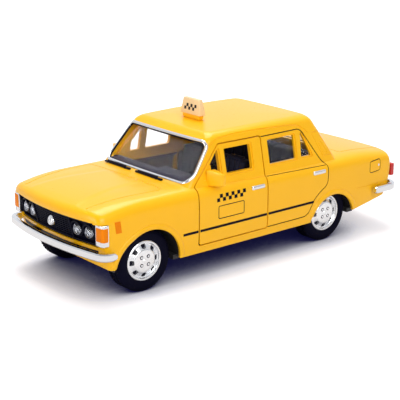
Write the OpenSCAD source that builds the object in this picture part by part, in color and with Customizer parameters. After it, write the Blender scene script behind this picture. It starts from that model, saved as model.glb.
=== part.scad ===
// Toy taxi: a small die-cast saloon with opening front doors and a pull-back motor.
// Lengths are in millimetres. The car faces -Y, its left side is +X, and it stands on Z = 0.

/* [Overall] */
// Width of the body at its side crease
body_w = 41.6; // [40.5:0.1:44]
// Front bumper face to the front axle
front_overhang = 17.5; // [17:0.1:18.5]
// Rear edge of the front door to the rear axle
rear_setback = 24.1; // [23.5:0.1:26]
// Rear axle to the rear bumper face
rear_overhang = 28.3; // [27:0.1:30]
// Thickness of the cast wall
wall = 1; // [0.8:0.05:1.1]
// Gap round an opening door
shut_gap = 0.35; // [0.25:0.05:0.45]

/* [Lower body] */
// Height of the bonnet and boot at their middle
deck_z = 25.2; // [24.6:0.1:26.5]
// Height of the crease along the side
crease_z = 14; // [13:0.1:15]
// Height of the sill's lower edge
sill_z = 7; // [6.6:0.1:7.6]
// How far the sill tucks in under the crease
sill_tuck = 0.5; // [0.3:0.1:0.8]
// Height of the bonnet's front lip
lip_z = 21.2; // [20.8:0.1:21.8]
// How far the nose is bowed in plan
nose_bow = 2.6; // [1.5:0.1:3.2]
// How far the tail is bowed in plan
tail_bow = 1; // [0.5:0.1:1.6]
// Radius that rolls the bonnet into the nose
nose_round = 2.2; // [1.6:0.1:2.6]
// Radius that rolls the boot into the tail
tail_round = 1.6; // [1:0.1:2.2]
// Radius of the front wheel arch
front_arch_r = 9.5; // [9.4:0.1:9.8]
// Radius of the rear wheel arch
rear_arch_r = 8.9; // [8.6:0.1:9.4]

/* [Cabin] */
// Height of the roof above the deck
cabin_h = 12.3; // [11.8:0.1:12.8]
// Step from the side crease in to the cabin wall
cabin_step = 1.75; // [1.4:0.05:2.2]
// Thickness of the clear moulding
glass_t = 0.7; // [0.5:0.05:0.9]

/* [Doors] */
// Front axle to the front edge of the door
door_setback = 16.5; // [16.3:0.1:17]
// Length of the front door
door_l = 23.6; // [22.5:0.1:24]
// Height of the sill below the door
door_sill_h = 2.3; // [1.8:0.1:2.8]
// Thickness of the door
door_t = 1.3; // [1.1:0.05:1.4]
// Diameter of the hinge pin
hinge_pin_d = 1; // [0.8:0.05:1.1]

/* [Wheels] */
// Outer diameter of a tyre
tyre_d = 16.5; // [16:0.1:17]
// Width of a tyre
tyre_w = 5.8; // [5:0.1:6]
// Outer diameter of a rim
rim_d = 10.6; // [10:0.1:11]
// Diameter of an axle
axle_d = 1.5; // [1.3:0.05:1.8]
// How far a wheel's outer face sits in from the body's side
wheel_tuck = 1.7; // [1.65:0.05:2]
// Slots round a rim
rim_slots = 8; // [6:1:10]

/* [Trim] */
// Height of a bumper bar
bumper_h = 2.3; // [1.8:0.1:2.8]
// Depth of a bumper bar
bumper_t = 1.5; // [1.2:0.1:1.8]
// Height of the middle of both bumpers
bumper_z = 12.5; // [11.8:0.1:12.8]
// Height of the grille opening
grille_h = 6.5; // [6:0.1:6.8]
// From the end of the grille opening to the body's side
grille_end = 3.2; // [3:0.1:3.8]
// Diameter of a headlamp
headlamp_d = 3.6; // [3:0.1:3.9]
// Width of the roof sign at its foot
sign_w = 8.4; // [7:0.1:10]
// Height of the roof sign
sign_h = 4.3; // [3.5:0.1:5]

/* [Motor] */
// Module of the gear teeth
gear_module = 0.4; // [0.38:0.01:0.41]
// Teeth on the axle gear
axle_teeth = 10; // [10:1:11]
// Teeth on the idler gear
idler_teeth = 18; // [17:1:19]
// Teeth on the spring drum's gear
drum_teeth = 24; // [23:1:24]
// Width of the gear teeth
gear_w = 2; // [1.5:0.1:2.4]
// Turns of the mainspring
spring_turns = 5; // [4:1:6]

/* [Hidden] */
$fn = 48;

// Allowances: cuts run past a face by overrun, fixed pieces sit with seat_gap, pins turn in run_gap
overrun = 1;
seat_gap = 0.08;
run_gap = 0.05;
free_gap = 0.3;

// Places along the car
wheelbase = door_setback + door_l + rear_setback;
car_l = front_overhang + wheelbase + rear_overhang;
half_l = car_l / 2;
half_w = body_w / 2;
grille_w = body_w - 2 * grille_end;
front_axle_y = front_overhang - half_l;
rear_axle_y = front_axle_y + wheelbase;
axle_z = tyre_d / 2;
nose_inset = 0.7;
tail_inset = 1.3;
nose_y = nose_inset - half_l;
tail_y = half_l - tail_inset;

// Lower body: profile in side view and plan
nose_lean_share = 0.27;
nose_drop = 2;
nose_fall_l = 16;
tail_drop = 1.7;
tail_fall_l = 19.5;
tail_tuck = 3.2;
tail_tuck_drop = 6.2;
tail_tuck_z = deck_z - tail_tuck_drop;
waist_fall = 1;
plan_taper = 0.7;
plan_power = 4;
front_rise = 1;
front_rise_l = 5;
rear_rise = 2.6;
rear_rise_l = 16;
bottom_round_share = 0.15;
side_round_share = 0.45;
section_power = 8;
section_steps = 16;
tuck_steps = 3;
station_steps = 20;
nose_depth = 5.6;
tail_depth = 2.6;

// Cabin: raked screens, leaning sides and a domed roof
roof_z = deck_z + cabin_h;
cabin_half_w = half_w - cabin_step;
cabin_lean_share = 0.211;
cabin_foot = 4.6;
cabin_side_bow = 0.5;
screen_ahead = 2.7;
screen_rake_share = 0.78;
screen_bow = 0.5;
back_behind = 3.7;
back_rake_share = 0.62;
back_bow = 0.4;
pillar_r = 1.75;
roof_edge_h = 1.8;
roof_crown = 0.3;
roof_edge_z = roof_z - roof_crown - roof_edge_h;
roof_in_side = 2.6;
roof_in_front = 0.8;
roof_in_back = 1;
roof_fall = 0.3;
roof_fall_l = 22;
roof_peak_back = 26.5;
edge_steps = 4;
crown_shares = [0.35, 0.7, 1];
crown_reach_share = 0.88;
corner_steps = 3;
side_steps = 8;
end_steps = 6;

// Front door outline in side view
door_front_y = front_axle_y + door_setback;
door_rear_y = door_front_y + door_l;
door_bottom_z = sill_z + door_sill_h;
door_kink_drop = 0.6;
door_kink_z = deck_z - door_kink_drop;
door_head = 3.5;
door_top_z = roof_z - door_head;
pillar_rake_share = 0.98;
door_corner_r = 0.5;
door_points = [
    [door_front_y, door_bottom_z],
    [door_rear_y, door_bottom_z],
    [door_rear_y, door_top_z],
    [door_front_y + pillar_rake_share * (door_top_z - door_kink_z), door_top_z],
    [door_front_y, door_kink_z]
];
door_relief_angle = 30;

// Side windows
window_sill = 0.9;
window_head = 1.4;
window_sill_z = deck_z + window_sill;
window_head_z = door_top_z - window_head;
window_corner_r = 0.35;
window_rebate = 0.45;
window_rebate_depth = 0.3;
quarter_in = 3.2;
quarter_l = 5.8;
vent_bar = 2.1;
pillar_in = 3.6;
rear_pane_behind = 2.7;
rear_pane_l = 9.8;
rear_quarter_l = 3.9;
rear_quarter_top = 0.6;
door_main_points = [
    [door_front_y + quarter_in + quarter_l + vent_bar, window_sill_z],
    [door_rear_y - pillar_in, window_sill_z],
    [door_rear_y - pillar_in, window_head_z],
    [door_front_y + quarter_in + quarter_l + vent_bar, window_head_z]
];
door_quarter_points = [
    [door_front_y + quarter_in, window_sill_z],
    [door_front_y + quarter_in + quarter_l, window_sill_z],
    [door_front_y + quarter_in + quarter_l, window_head_z],
    [door_front_y + quarter_in + quarter_l - window_corner_r, window_head_z]
];
rear_pane_y = door_rear_y + rear_pane_behind;
rear_quarter_y = rear_pane_y + rear_pane_l + vent_bar;
rear_main_points = [
    [rear_pane_y, window_sill_z],
    [rear_pane_y + rear_pane_l, window_sill_z],
    [rear_pane_y + rear_pane_l, window_head_z],
    [rear_pane_y, window_head_z]
];
rear_quarter_points = [
    [rear_quarter_y, window_sill_z],
    [rear_quarter_y + rear_quarter_l, window_sill_z],
    [rear_quarter_y + rear_quarter_top + window_corner_r, window_head_z],
    [rear_quarter_y + rear_quarter_top, window_head_z]
];

// Windscreen and rear screen openings, seen from the front
screen_base_y = door_front_y - screen_ahead;
back_base_y = rear_axle_y + back_behind;
screen_margin = 0.9;
screen_corner_r = 1.6;
screen_sill = 0.5;
screen_head = 2.7;
back_margin = 2.6;
back_sill = 1.3;
back_head = 3.8;

// Wheel arches: centres measured from the axles
front_arch_shift = 1;
front_arch_z = 7.4;
front_flare_r = 9;
front_flare_ahead = 0.7;
front_flare_z = 7;
rear_arch_shift = 1.7;
rear_arch_z = 5.1;

// Door hinge: a pin inside the front wing and a goose-neck arm
hinge_in = 2.4;
hinge_ahead = 3;
hinge_x = half_w - hinge_in;
hinge_y = door_front_y - hinge_ahead;
hinge_pin_r = hinge_pin_d / 2;
hinge_eye_wall = 0.5;
hinge_eye_r = hinge_pin_r + run_gap + hinge_eye_wall;
hinge_arm_t = 0.9;
hinge_arm_rise = 5.6;
hinge_arm_z = sill_z + hinge_arm_rise;
hinge_arm_h = 4.8;
hinge_knuckle = 0.1;
hinge_neck_in = 3.5;
hinge_neck_back = 2.4;
hinge_elbow_in = 1.5;
hinge_elbow_back = 5;
hinge_foot_back = 6.2;
hinge_foot_l = 3;
hinge_lug_h = 1.6;
hinge_lug_wall = 0.8;
hinge_lug_gap = 0.4;

// Wheels
tyre_r = tyre_d / 2;
rim_r = rim_d / 2;
axle_r = axle_d / 2;
wheel_out_x = half_w - wheel_tuck;
wheel_in_x = wheel_out_x - tyre_w;
tyre_shoulder = 0.9;
tyre_bulge = 0.25;
tread_groove = 0.35;
tread_groove_w = 0.45;
tread_grooves = 3;
rim_recess = 0.35;
rim_lip = 0.55;
rim_dish = 0.75;
rim_back = 1.6;
hub_r = 2.5;
hub_rise = 0.45;
slot_in_r = 3;
slot_l = 1.05;
slot_w = 0.95;
slot_depth = 0.8;
nut_ring_r = 1.55;
nut_r = 0.4;
nut_rise = 0.25;
nut_count = 4;
axle_in = 1.2;

// Base plate
base_t = 1.2;
base_rise = 0.5;
base_z = sill_z - base_rise;
base_top_z = base_z + base_t;
base_side_gap = 0.5;
base_end_front = 9.8;
base_end_rear = 12.6;
base_corner = 3;
wheel_room = 0.9;
saddle_l = 4;
saddle_w = 2.2;
saddle_x = 8;
saddle_cap = 1.2;
axle_relief = 0.3;
tub_post_r = 1.5;
tub_post_x = 9;
rib_w = 0.8;
rib_h = 0.6;
rib_count = 5;
rib_l_share = 0.8;

// Body posts and their screws
post_r = 2.2;
front_post_back = 8;
rear_post_back = 11;
front_post_y = front_axle_y + front_post_back;
rear_post_y = rear_axle_y + rear_post_back;
screw_r = 0.7;
screw_head_r = 1.5;
screw_head_h = 0.7;
screw_l = 5;
screw_slot_w = 0.4;
screw_slot_depth = 0.35;

// Interior
floor_t = 0.8;
floor_rise = 1.5;
floor_z = base_top_z + floor_rise;
tub_in = 3.4;
tub_half_w = half_w - tub_in;
tub_ahead = 0.6;
tub_front_y = door_front_y - tub_ahead;
bulkhead_t = 0.8;
bulkhead_in = 7.4;
bulkhead_half_w = half_w - bulkhead_in;
seat_in = 12.6;
seat_x = half_w - seat_in;
seat_half_w = 5;
seat_l = 10;
seat_h = 5.4;
seat_back_t = 3;
seat_back_h = 11.5;
seat_back_lean = 2.2;
seat_round = 0.9;
seat_ahead = 1.2;
seat_back_y = door_rear_y - seat_ahead;
bench_in = 4.8;
bench_half_w = half_w - bench_in;
bench_cushion_h = 2.2;
bench_back_h = 6.2;
bench_back_t = 3;
bench_lean = 1.6;
tunnel_half_w = 2.2;
tunnel_h = 2.6;
shelf_in = 5.8;
shelf_half_w = half_w - shelf_in;
shelf_l = 4.6;
shelf_round = 0.5;
dash_over_hinge = 1.2;
dash_z = hinge_arm_z + hinge_arm_h + dash_over_hinge;
dash_l = 5.4;
dash_lip = 1.6;
dash_in = 5.6;
dash_half_w = half_w - dash_in;
dash_top_drop = 1.3;
binnacle_w = 7;
binnacle_h = 0.9;
binnacle_l = 2.2;
wheel_ring_r = 3.1;
wheel_tube_r = 0.4;
wheel_tilt = 62;
wheel_boss_r = 0.8;
column_r = 0.5;
column_l = 4.4;
column_stub = 1.6;
spoke_t = 0.5;

// Front lamps and grille, set on a face that leans and bows like the nose
grille_under_lip = 0.4;
grille_bottom_z = lip_z - grille_under_lip - grille_h;
grille_mid_z = grille_bottom_z + grille_h / 2;
grille_recess = 0.9;
grille_t = 2;
grille_bow_r = pow(half_w, 2) / (2 * nose_bow);
grille_lean = atan(nose_lean_share);
grille_frame = 0.6;
grille_bar = 0.28;
grille_bar_count = 9;
grille_bar_depth = 0.35;
lamp_panel_half_w = 8.3;
lamp_in = 3.1;
lamp_pitch = 4.3;
lamp_outer_x = grille_w / 2 - lamp_in;
lamp_inner_x = lamp_outer_x - lamp_pitch;
lamp_depth = 1.1;
lamp_dome = 0.35;
lamp_rim_w = 0.35;
badge_r = 1.35;
badge_t = 0.5;
corner_h = 5.5;
corner_w = 2.9;
corner_l = 2.2;
corner_nose = 0.6;
corner_lift = 0.2;
corner_z = grille_mid_z + corner_lift;
corner_gap = 0.15;
corner_proud = 0.1;
corner_sweep = 0.2;
lens_h = 3;
lens_proud = 0.15;
lens_sink = 0.4;

// Bumpers, tail lamps and roof sign
bumper_side_gap = 0.25;
bumper_wrap_front = 4;
bumper_wrap_rear = 8.6;
bumper_corner_r = 3;
bumper_steps = 8;
bumper_corner_steps = 5;
bumper_section_steps = 10;
bumper_end_share = 0.6;
bumper_square_share = 0.6;
bumper_lug_w = 2.4;
bumper_lug_x = 9;
bumper_lug_h = 1.2;
tail_lamp_w = 5.4;
tail_lamp_h = 3.4;
tail_lamp_z = 16.6;
tail_lamp_in = 1.7;
tail_lamp_depth = 1.2;
tail_lamp_proud = 1.2;
sign_back = 14.6;
sign_y = door_front_y + sign_back;
sign_l = 2.3;
sign_top_share = 0.79;
sign_top_l_share = 0.55;
sign_base_h = 1;
sign_foot_share = 0.82;
sign_round = 0.25;
sign_pad_h = 0.1;
wiper_l = 11.4;
wiper_w = 0.9;
wiper_h = 0.8;
wiper_x = 4.8;
wiper_pitch = 14;
wiper_ahead = 2.1;

// Door furniture
mirror_l = 4;
mirror_h = 4.7;
mirror_w = 3;
mirror_round = 0.7;
mirror_in = 0.9;
mirror_drop = 0.8;
mirror_foot_rise = 0.5;
mirror_back = 3;
mirror_foot_h = 1.6;
mirror_foot_l = 2;
handle_l = 4.7;
handle_h = 0.8;
handle_rise = 0.35;
handle_drop = 3.6;
handle_rear_gap = 1;

// Motor and gears, measured in the plane of the gears
pressure_angle = 20;
addendum_share = 0.8;
dedendum_share = 1.15;
backlash_share = 0.1;
flank_steps = 4;
idler_angle = 140;
drum_angle = 182;
case_wall = 0.8;
case_gap = 0.4;
case_half_w = 6.4;
cover_t = 0.8;
flange_w = 1.4;
flange_t = 0.9;
motor_pin_r = 0.5;
gear_x = 2;
drum_barrel_w = 4;
drum_wall = 0.5;
spring_t = 0.25;
spring_gap = 0.2;
arbor_r = 1;
spring_step = 15;
axle_gear_r = gear_module * axle_teeth / 2;
idler_gear_r = gear_module * idler_teeth / 2;
drum_gear_r = gear_module * drum_teeth / 2;
axle_point = [rear_axle_y, axle_z];
idler_point = axle_point + (axle_gear_r + idler_gear_r) * [cos(idler_angle), sin(idler_angle)];
drum_point = idler_point + (idler_gear_r + drum_gear_r) * [cos(drum_angle), sin(drum_angle)];
axle_turn = idler_angle;
idler_turn = idler_angle + 180 + 180 / idler_teeth;
idler_pitch = 360 / idler_teeth;
idler_lag = wrap(idler_turn - drum_angle + idler_pitch / 2, idler_pitch) - idler_pitch / 2;
drum_turn = drum_angle + 180 - idler_lag * idler_teeth / drum_teeth + 180 / drum_teeth;
drum_tip_r = drum_gear_r + addendum_share * gear_module;
idler_tip_r = idler_gear_r + addendum_share * gear_module;
axle_tip_r = axle_gear_r + addendum_share * gear_module;
case_front_y = drum_point.x - drum_tip_r - case_gap - case_wall;
case_rear_y = rear_axle_y + axle_tip_r + case_gap + case_wall;
case_bottom_z = min(drum_point.y - drum_tip_r, axle_z - axle_tip_r) - case_gap - case_wall;
case_top_z = max(drum_point.y + drum_tip_r, idler_point.y + idler_tip_r) + case_gap;

// Small mathematics
function wrap(v, p) = v - p * floor(v / p);
function mix(a, b, t) = a + (b - a) * t;
function unit(v) = v / norm(v);
function clamp01(v) = max(0, min(1, v));
function signed_power(v, p) = sign(v) * pow(abs(v), p);
function ease(v) = clamp01(v) * clamp01(v);

// A convex outline moved in by d, or out where d is negative
function inset_corner(a, b, c, d) =
    let (u = unit(b - a), v = unit(c - b), m = [-u.y, u.x], n = [-v.y, v.x])
    b + d * (m + n) / (1 + m * n);
function inset(points, d) =
    let (n = len(points))
    [for (i = [0 : n - 1]) inset_corner(points[(i + n - 1) % n], points[i], points[(i + 1) % n], d)];

// The nose and tail faces as places along the car
function front_y(x, z) = nose_y + nose_lean_share * (lip_z - z) + nose_bow * pow(x / half_w, 2);
function rear_y(x, z) =
    tail_y - tail_bow * pow(x / half_w, 2)
    - tail_tuck * pow(max(0, tail_tuck_z - z) / (tail_tuck_z - sill_z), 2);

// Half width, top and bottom of the lower body at a place along the car
function body_half(y) = half_w - plan_taper * pow(abs(y) / half_l, plan_power);
function body_top(y) =
    deck_z
    - waist_fall * clamp01((y - door_front_y) / (back_base_y - door_front_y))
    - nose_drop * pow(max(0, nose_y + nose_fall_l - y) / nose_fall_l, 2)
    - tail_drop * pow(max(0, y - tail_y + tail_fall_l) / tail_fall_l, 2);
function body_bottom(y) =
    sill_z
    + front_rise * clamp01((front_axle_y - y) / front_rise_l)
    + rear_rise * clamp01((y - tail_y + rear_rise_l) / rear_rise_l);
function round_in(d, r) = d < r ? r - sqrt(max(0, pow(r, 2) - pow(r - d, 2))) : 0;
function end_inset(y) = round_in(y - nose_y, nose_round) + round_in(tail_y - y, tail_round);

// One closed section of the lower body, t from nose to tail, moved in by off
function body_ring(t, off, front_off, rear_off, drop) =
    let (
        y = mix(nose_y, tail_y, t),
        roll = end_inset(y),
        w = body_half(y) - off - side_round_share * roll,
        top = body_top(y) - off - roll,
        low = body_bottom(y) + bottom_round_share * roll - drop,
        upper = [for (i = [0 : section_steps])
            let (a = 180 * i / section_steps)
            [
                w * signed_power(cos(a), 2 / section_power),
                crease_z + (top - crease_z) * pow(max(0, sin(a)), 2 / section_power)
            ]],
        side = [for (i = [1 : tuck_steps])
            let (f = i / tuck_steps)
            [w - sill_tuck * f * f, mix(crease_z, low, f)]],
        left = [for (p = side) [-p.x, p.y]],
        right = [for (i = [tuck_steps - 1 : -1 : 0]) side[i]]
    )
    [for (p = concat(upper, left, right))
        [p.x, mix(front_y(p.x, p.y) + front_off, rear_y(p.x, p.y) - rear_off, t), p.y]];

// One closed ring of the cabin at height z, drawn in at the sides, front and back
function cabin_ring(z, in_side, in_front, in_back, off) =
    let (
        h = z - deck_z,
        w = cabin_half_w - h * cabin_lean_share - in_side - off,
        y0 = screen_base_y + h * screen_rake_share + in_front + off * (1 + screen_rake_share / 2),
        y1 = back_base_y - h * back_rake_share - in_back - off * (1 + back_rake_share / 2),
        r = min(max(pillar_r - off, pillar_r / 2), w / 2),
        corner = [for (i = [0 : corner_steps]) 90 * i / corner_steps],
        points = concat(
            [for (a = corner) [w - r + r * sin(a), y0 + r - r * cos(a)]],
            [for (i = [1 : side_steps - 1]) [w, mix(y0 + r, y1 - r, i / side_steps)]],
            [for (a = corner) [w - r + r * cos(a), y1 - r + r * sin(a)]],
            [for (i = [1 : end_steps - 1]) [mix(w - r, r - w, i / end_steps), y1]],
            [for (a = corner) [r - w - r * sin(a), y1 - r + r * cos(a)]],
            [for (i = [1 : side_steps - 1]) [-w, mix(y1 - r, y0 + r, i / side_steps)]],
            [for (a = corner) [r - w - r * cos(a), y0 + r - r * sin(a)]],
            [for (i = [1 : end_steps - 1]) [mix(r - w, w - r, i / end_steps), y0]]
        )
    )
    [for (p = points) cabin_point(p, z, w, y0, y1)];

// A ring point with the bow of the screens, the barrel of the sides and the fall of the roof
function cabin_point(p, z, w, y0, y1) =
    let (
        t = (p.y - y0) / (y1 - y0),
        bow = pow(p.x / w, 2) * (screen_bow * pow(1 - t, 2) - back_bow * t * t),
        barrel = 1 - cabin_side_bow / w * pow(2 * t - 1, 2),
        y = p.y + bow,
        fall = roof_fall * pow((y - screen_base_y - roof_peak_back) / roof_fall_l, 2)
    )
    [p.x * barrel, y, z - fall * ease((z - deck_z) / cabin_h)];

// Rings of the cabin from its foot up the sides, over the roof edge and across the crown
function cabin_rings(off) = concat(
    [cabin_ring(deck_z - cabin_foot, 0, 0, 0, off), cabin_ring(deck_z, 0, 0, 0, off)],
    [for (i = [0 : edge_steps])
        let (a = 90 * i / edge_steps, s = 1 - cos(a))
        cabin_ring(roof_edge_z + roof_edge_h * sin(a) - off,
            roof_in_side * s, roof_in_front * s, roof_in_back * s, off)],
    [for (k = crown_shares)
        let (
            z = roof_edge_z + roof_edge_h,
            w = cabin_half_w - (z - deck_z) * cabin_lean_share - roof_in_side - off,
            l = (back_base_y - screen_base_y - (z - deck_z) * (screen_rake_share + back_rake_share)
                - roof_in_front - roof_in_back) / 2 - 2 * off
        )
        cabin_ring(z + roof_crown * (1 - pow(1 - k, 2)) - off,
            roof_in_side + w * k * crown_reach_share,
            roof_in_front + l * k * crown_reach_share,
            roof_in_back + l * k * crown_reach_share, off)]
);

// A closed skin over a list of rings that all have the same number of points
module skin(rings) {
    n = len(rings[0]);
    last = len(rings) - 1;
    polyhedron(
        points = [for (r = rings) each r],
        faces = concat(
            [[for (j = [0 : n - 1]) j]],
            [for (i = [0 : last - 1], j = [0 : n - 1]) each let (k = (j + 1) % n) [
                [i * n + j, (i + 1) * n + j, i * n + k],
                [i * n + k, (i + 1) * n + j, (i + 1) * n + k]
            ]],
            [[for (j = [n - 1 : -1 : 0]) last * n + j]]
        )
    );
}

module lower_body(off, front_off, rear_off, drop) {
    skin([for (i = [0 : station_steps])
        body_ring((1 + cos(180 * i / station_steps)) / 2, off, front_off, rear_off, drop)]);
}

module cabin(off) {
    skin(cabin_rings(off));
}

// The outside of the car, and its inside at a wall thickness t
module outer_form() {
    lower_body(0, 0, 0, 0);
    cabin(0);
}

module inner_form(t) {
    lower_body(t, nose_depth, tail_depth, cabin_foot);
    cabin(t);
}

// A rounded side-view outline, grown by grow, drawn through the whole width of the car
module side_prism(points, r, grow) {
    rotate([90, 0, 90])
        translate([0, 0, -half_w - overrun])
            linear_extrude(body_w + 2 * overrun)
                hull()
                    for (p = inset(points, r - grow))
                        translate(p)
                            circle(r, $fn = 16);
}

// A rounded trapezium seen from the front, drawn along the car from y0 to y1
module front_prism(half_low, half_high, z0, z1, r, y0, y1) {
    translate([0, y1, 0])
        rotate([90, 0, 0])
            linear_extrude(y1 - y0)
                hull()
                    for (p = inset([[-half_low, z0], [half_low, z0], [half_high, z1], [-half_high, z1]], r))
                        translate(p)
                            circle(r, $fn = 16);
}

// Children on the car's left, or mirrored to its right where side is negative
module on_side(side) {
    if (side > 0)
        children();
    else
        mirror([1, 0, 0])
            children();
}

// A shallow rebate round a side window, cut only into the outer skin of the cabin
module window_rebates(points) {
    difference() {
        side_prism(points, window_corner_r, window_rebate);
        cabin(window_rebate_depth);
    }
}

module wheel_arches() {
    for (side = [-1, 1])
        on_side(side) {
            translate([wheel_in_x, front_axle_y + front_arch_shift, front_arch_z])
                rotate([0, 90, 0])
                    cylinder(r = front_arch_r, h = half_w);
            translate([wheel_in_x, front_axle_y - front_flare_ahead, front_flare_z])
                rotate([0, 90, 0])
                    cylinder(r = front_flare_r, h = half_w);
            translate([wheel_in_x, rear_axle_y + rear_arch_shift, rear_arch_z])
                rotate([0, 90, 0])
                    cylinder(r = rear_arch_r, h = half_w);
        }
}

// The space for the grille: a slot whose floor leans and bows with the nose
module grille_space(depth, gap) {
    difference() {
        translate([-grille_w / 2 - gap, -half_l - overrun, grille_bottom_z - gap])
            cube([grille_w + 2 * gap, nose_depth + 2 * overrun, grille_h + 2 * gap]);
        nose_drum(depth, grille_h);
    }
}

// A large drum whose front follows the nose, set back by depth
module nose_drum(depth, half_h) {
    translate([0, front_y(0, grille_mid_z) + depth, grille_mid_z])
        rotate([grille_lean, 0, 0])
            translate([0, grille_bow_r, -half_h])
                cylinder(r = grille_bow_r, h = 2 * half_h, $fn = 180);
}

// The corner of a wing cut away behind its lamp
module corner_pocket(gap) {
    translate([corner_x() - gap, -half_l - overrun, corner_z - corner_h / 2 - gap])
        cube([
            half_w, half_l + overrun + corner_front() + corner_l + gap, corner_h + 2 * gap
        ]);
}

// The corner of a wing that a lamp fills
module corner_space(gap) {
    translate([0, 0, corner_z - corner_h / 2 - gap])
        linear_extrude(corner_h + 2 * gap)
            polygon(corner_plan(gap));
}

function corner_x() = grille_w / 2 + corner_gap;
function corner_front() = front_y(corner_x(), corner_z) - corner_proud;
function corner_plan(gap) = [
    [corner_x() - gap, corner_front() - gap],
    [corner_x() + corner_w - corner_nose, corner_front() + corner_sweep - gap],
    [corner_x() + corner_w + gap, corner_front() + corner_nose],
    [corner_x() + corner_w + gap, corner_front() + corner_l + gap],
    [corner_x() - gap, corner_front() + corner_l + gap]
];

// Two ears inside each front wing that hold a hinge pin
module hinge_lugs() {
    for (z = [hinge_arm_z - hinge_lug_gap - hinge_lug_h, hinge_arm_z + hinge_arm_h + hinge_lug_gap])
        difference() {
            hull() {
                translate([hinge_x, hinge_y, z])
                    cylinder(r = hinge_pin_r + hinge_lug_wall, h = hinge_lug_h, $fn = 24);
                translate([half_w - wall - hinge_lug_wall, hinge_y - hinge_lug_h, z])
                    cube([hinge_lug_wall + wall / 2, hinge_lug_h + hinge_lug_wall, hinge_lug_h]);
            }
            translate([hinge_x, hinge_y, z - overrun])
                cylinder(r = hinge_pin_r + seat_gap, h = hinge_lug_h + 2 * overrun, $fn = 24);
        }
}

module body_posts() {
    for (y = [front_post_y, rear_post_y])
        translate([0, y, base_top_z])
            difference() {
                cylinder(r = post_r, h = deck_z - wall / 2 - base_top_z);
                translate([0, 0, -overrun])
                    cylinder(r = screw_r + seat_gap, h = screw_l + overrun, $fn = 24);
            }
}

module body_shell() {
    color([1, 0.76, 0.16]) {
        difference() {
            outer_form();
            inner_form(wall);
            side_prism(door_points, door_corner_r, shut_gap);
            side_prism(rear_main_points, window_corner_r, 0);
            side_prism(rear_quarter_points, window_corner_r, 0);
            window_rebates(rear_main_points);
            window_rebates(rear_quarter_points);
            windscreen_cut();
            back_cut();
            wheel_arches();
            grille_space(grille_recess + grille_t, seat_gap);
            for (side = [-1, 1])
                on_side(side) {
                    corner_pocket(seat_gap);
                    tail_lamp_space(seat_gap);
                }
        }
        for (side = [-1, 1])
            on_side(side)
                hinge_lugs();
        body_posts();
        bumper_lugs();
        sign_pad();
    }
}

// Cast lugs on the nose and tail that the bumpers sit on
module bumper_lugs() {
    half = half_w + bumper_side_gap + bumper_t / 2;
    y0 = bumper_t - half_l + nose_bow * pow((bumper_lug_x + bumper_lug_w / 2) / half, 2) + seat_gap;
    y1 = half_l - bumper_t - tail_bow * pow((bumper_lug_x + bumper_lug_w / 2) / half, 2) - seat_gap;
    for (side = [-1, 1]) {
        translate([side * bumper_lug_x - bumper_lug_w / 2, y0, bumper_z - bumper_lug_h / 2])
            cube([bumper_lug_w, nose_depth, bumper_lug_h]);
        translate([side * bumper_lug_x - bumper_lug_w / 2, y1 - nose_depth, bumper_z - bumper_lug_h / 2])
            cube([bumper_lug_w, nose_depth, bumper_lug_h]);
    }
}

module windscreen_cut() {
    z0 = deck_z + screen_sill;
    z1 = roof_z - screen_head;
    front_prism(
        cabin_half_w - screen_margin - (z0 - deck_z) * cabin_lean_share,
        cabin_half_w - screen_margin - (z1 - deck_z) * cabin_lean_share,
        z0, z1, screen_corner_r,
        screen_base_y - overrun, screen_base_y + cabin_h);
}

module back_cut() {
    z0 = deck_z + back_sill;
    z1 = roof_z - back_head;
    front_prism(
        cabin_half_w - back_margin - (z0 - deck_z) * cabin_lean_share,
        cabin_half_w - back_margin - (z1 - deck_z) * cabin_lean_share,
        z0, z1, screen_corner_r,
        back_base_y - cabin_h, back_base_y + overrun);
}

module sign_pad() {
    w = sign_w * sign_foot_share - 2 * sign_round;
    l = sign_l * sign_foot_share - 2 * sign_round;
    translate([-w / 2, sign_y - l / 2, roof_z - wall])
        cube([w, l, wall + sign_pad_h]);
}

// A front door: the same skins as the body, cut to the door's outline
module door_skin() {
    difference() {
        intersection() {
            difference() {
                outer_form();
                inner_form(door_t);
            }
            side_prism(door_points, door_corner_r, 0);
            translate([0, -half_l, 0])
                cube([car_l, car_l, car_l]);
        }
        side_prism(door_main_points, window_corner_r, 0);
        side_prism(door_quarter_points, window_corner_r, 0);
        window_rebates(door_main_points);
        window_rebates(door_quarter_points);
        door_relief();
    }
    door_handle();
}

// The slanted front edge that lets the door turn clear of the wing
module door_relief() {
    translate([half_w, door_front_y, door_bottom_z - overrun])
        rotate([0, 0, -door_relief_angle])
            translate([-door_l, -door_l, 0])
                cube([door_l + overrun, door_l, door_kink_z - door_bottom_z + overrun]);
}

// A slim raised handle with round ends
module door_handle() {
    z = deck_z - handle_drop;
    y = door_rear_y - handle_rear_gap;
    x = half_w * pow(1 - pow((z - crease_z) / (body_top(y) - crease_z), section_power), 1 / section_power);
    hull()
        for (d = [handle_h / 2, handle_l - handle_h / 2])
            translate([x - handle_rise, y - d, z])
                rotate([0, 90, 0])
                    cylinder(d = handle_h, h = 2 * handle_rise, $fn = 16);
}

module left_door() {
    color([1, 0.76, 0.16])
        door_skin();
}

module right_door() {
    color([1, 0.76, 0.16])
        mirror([1, 0, 0])
            door_skin();
}

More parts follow.
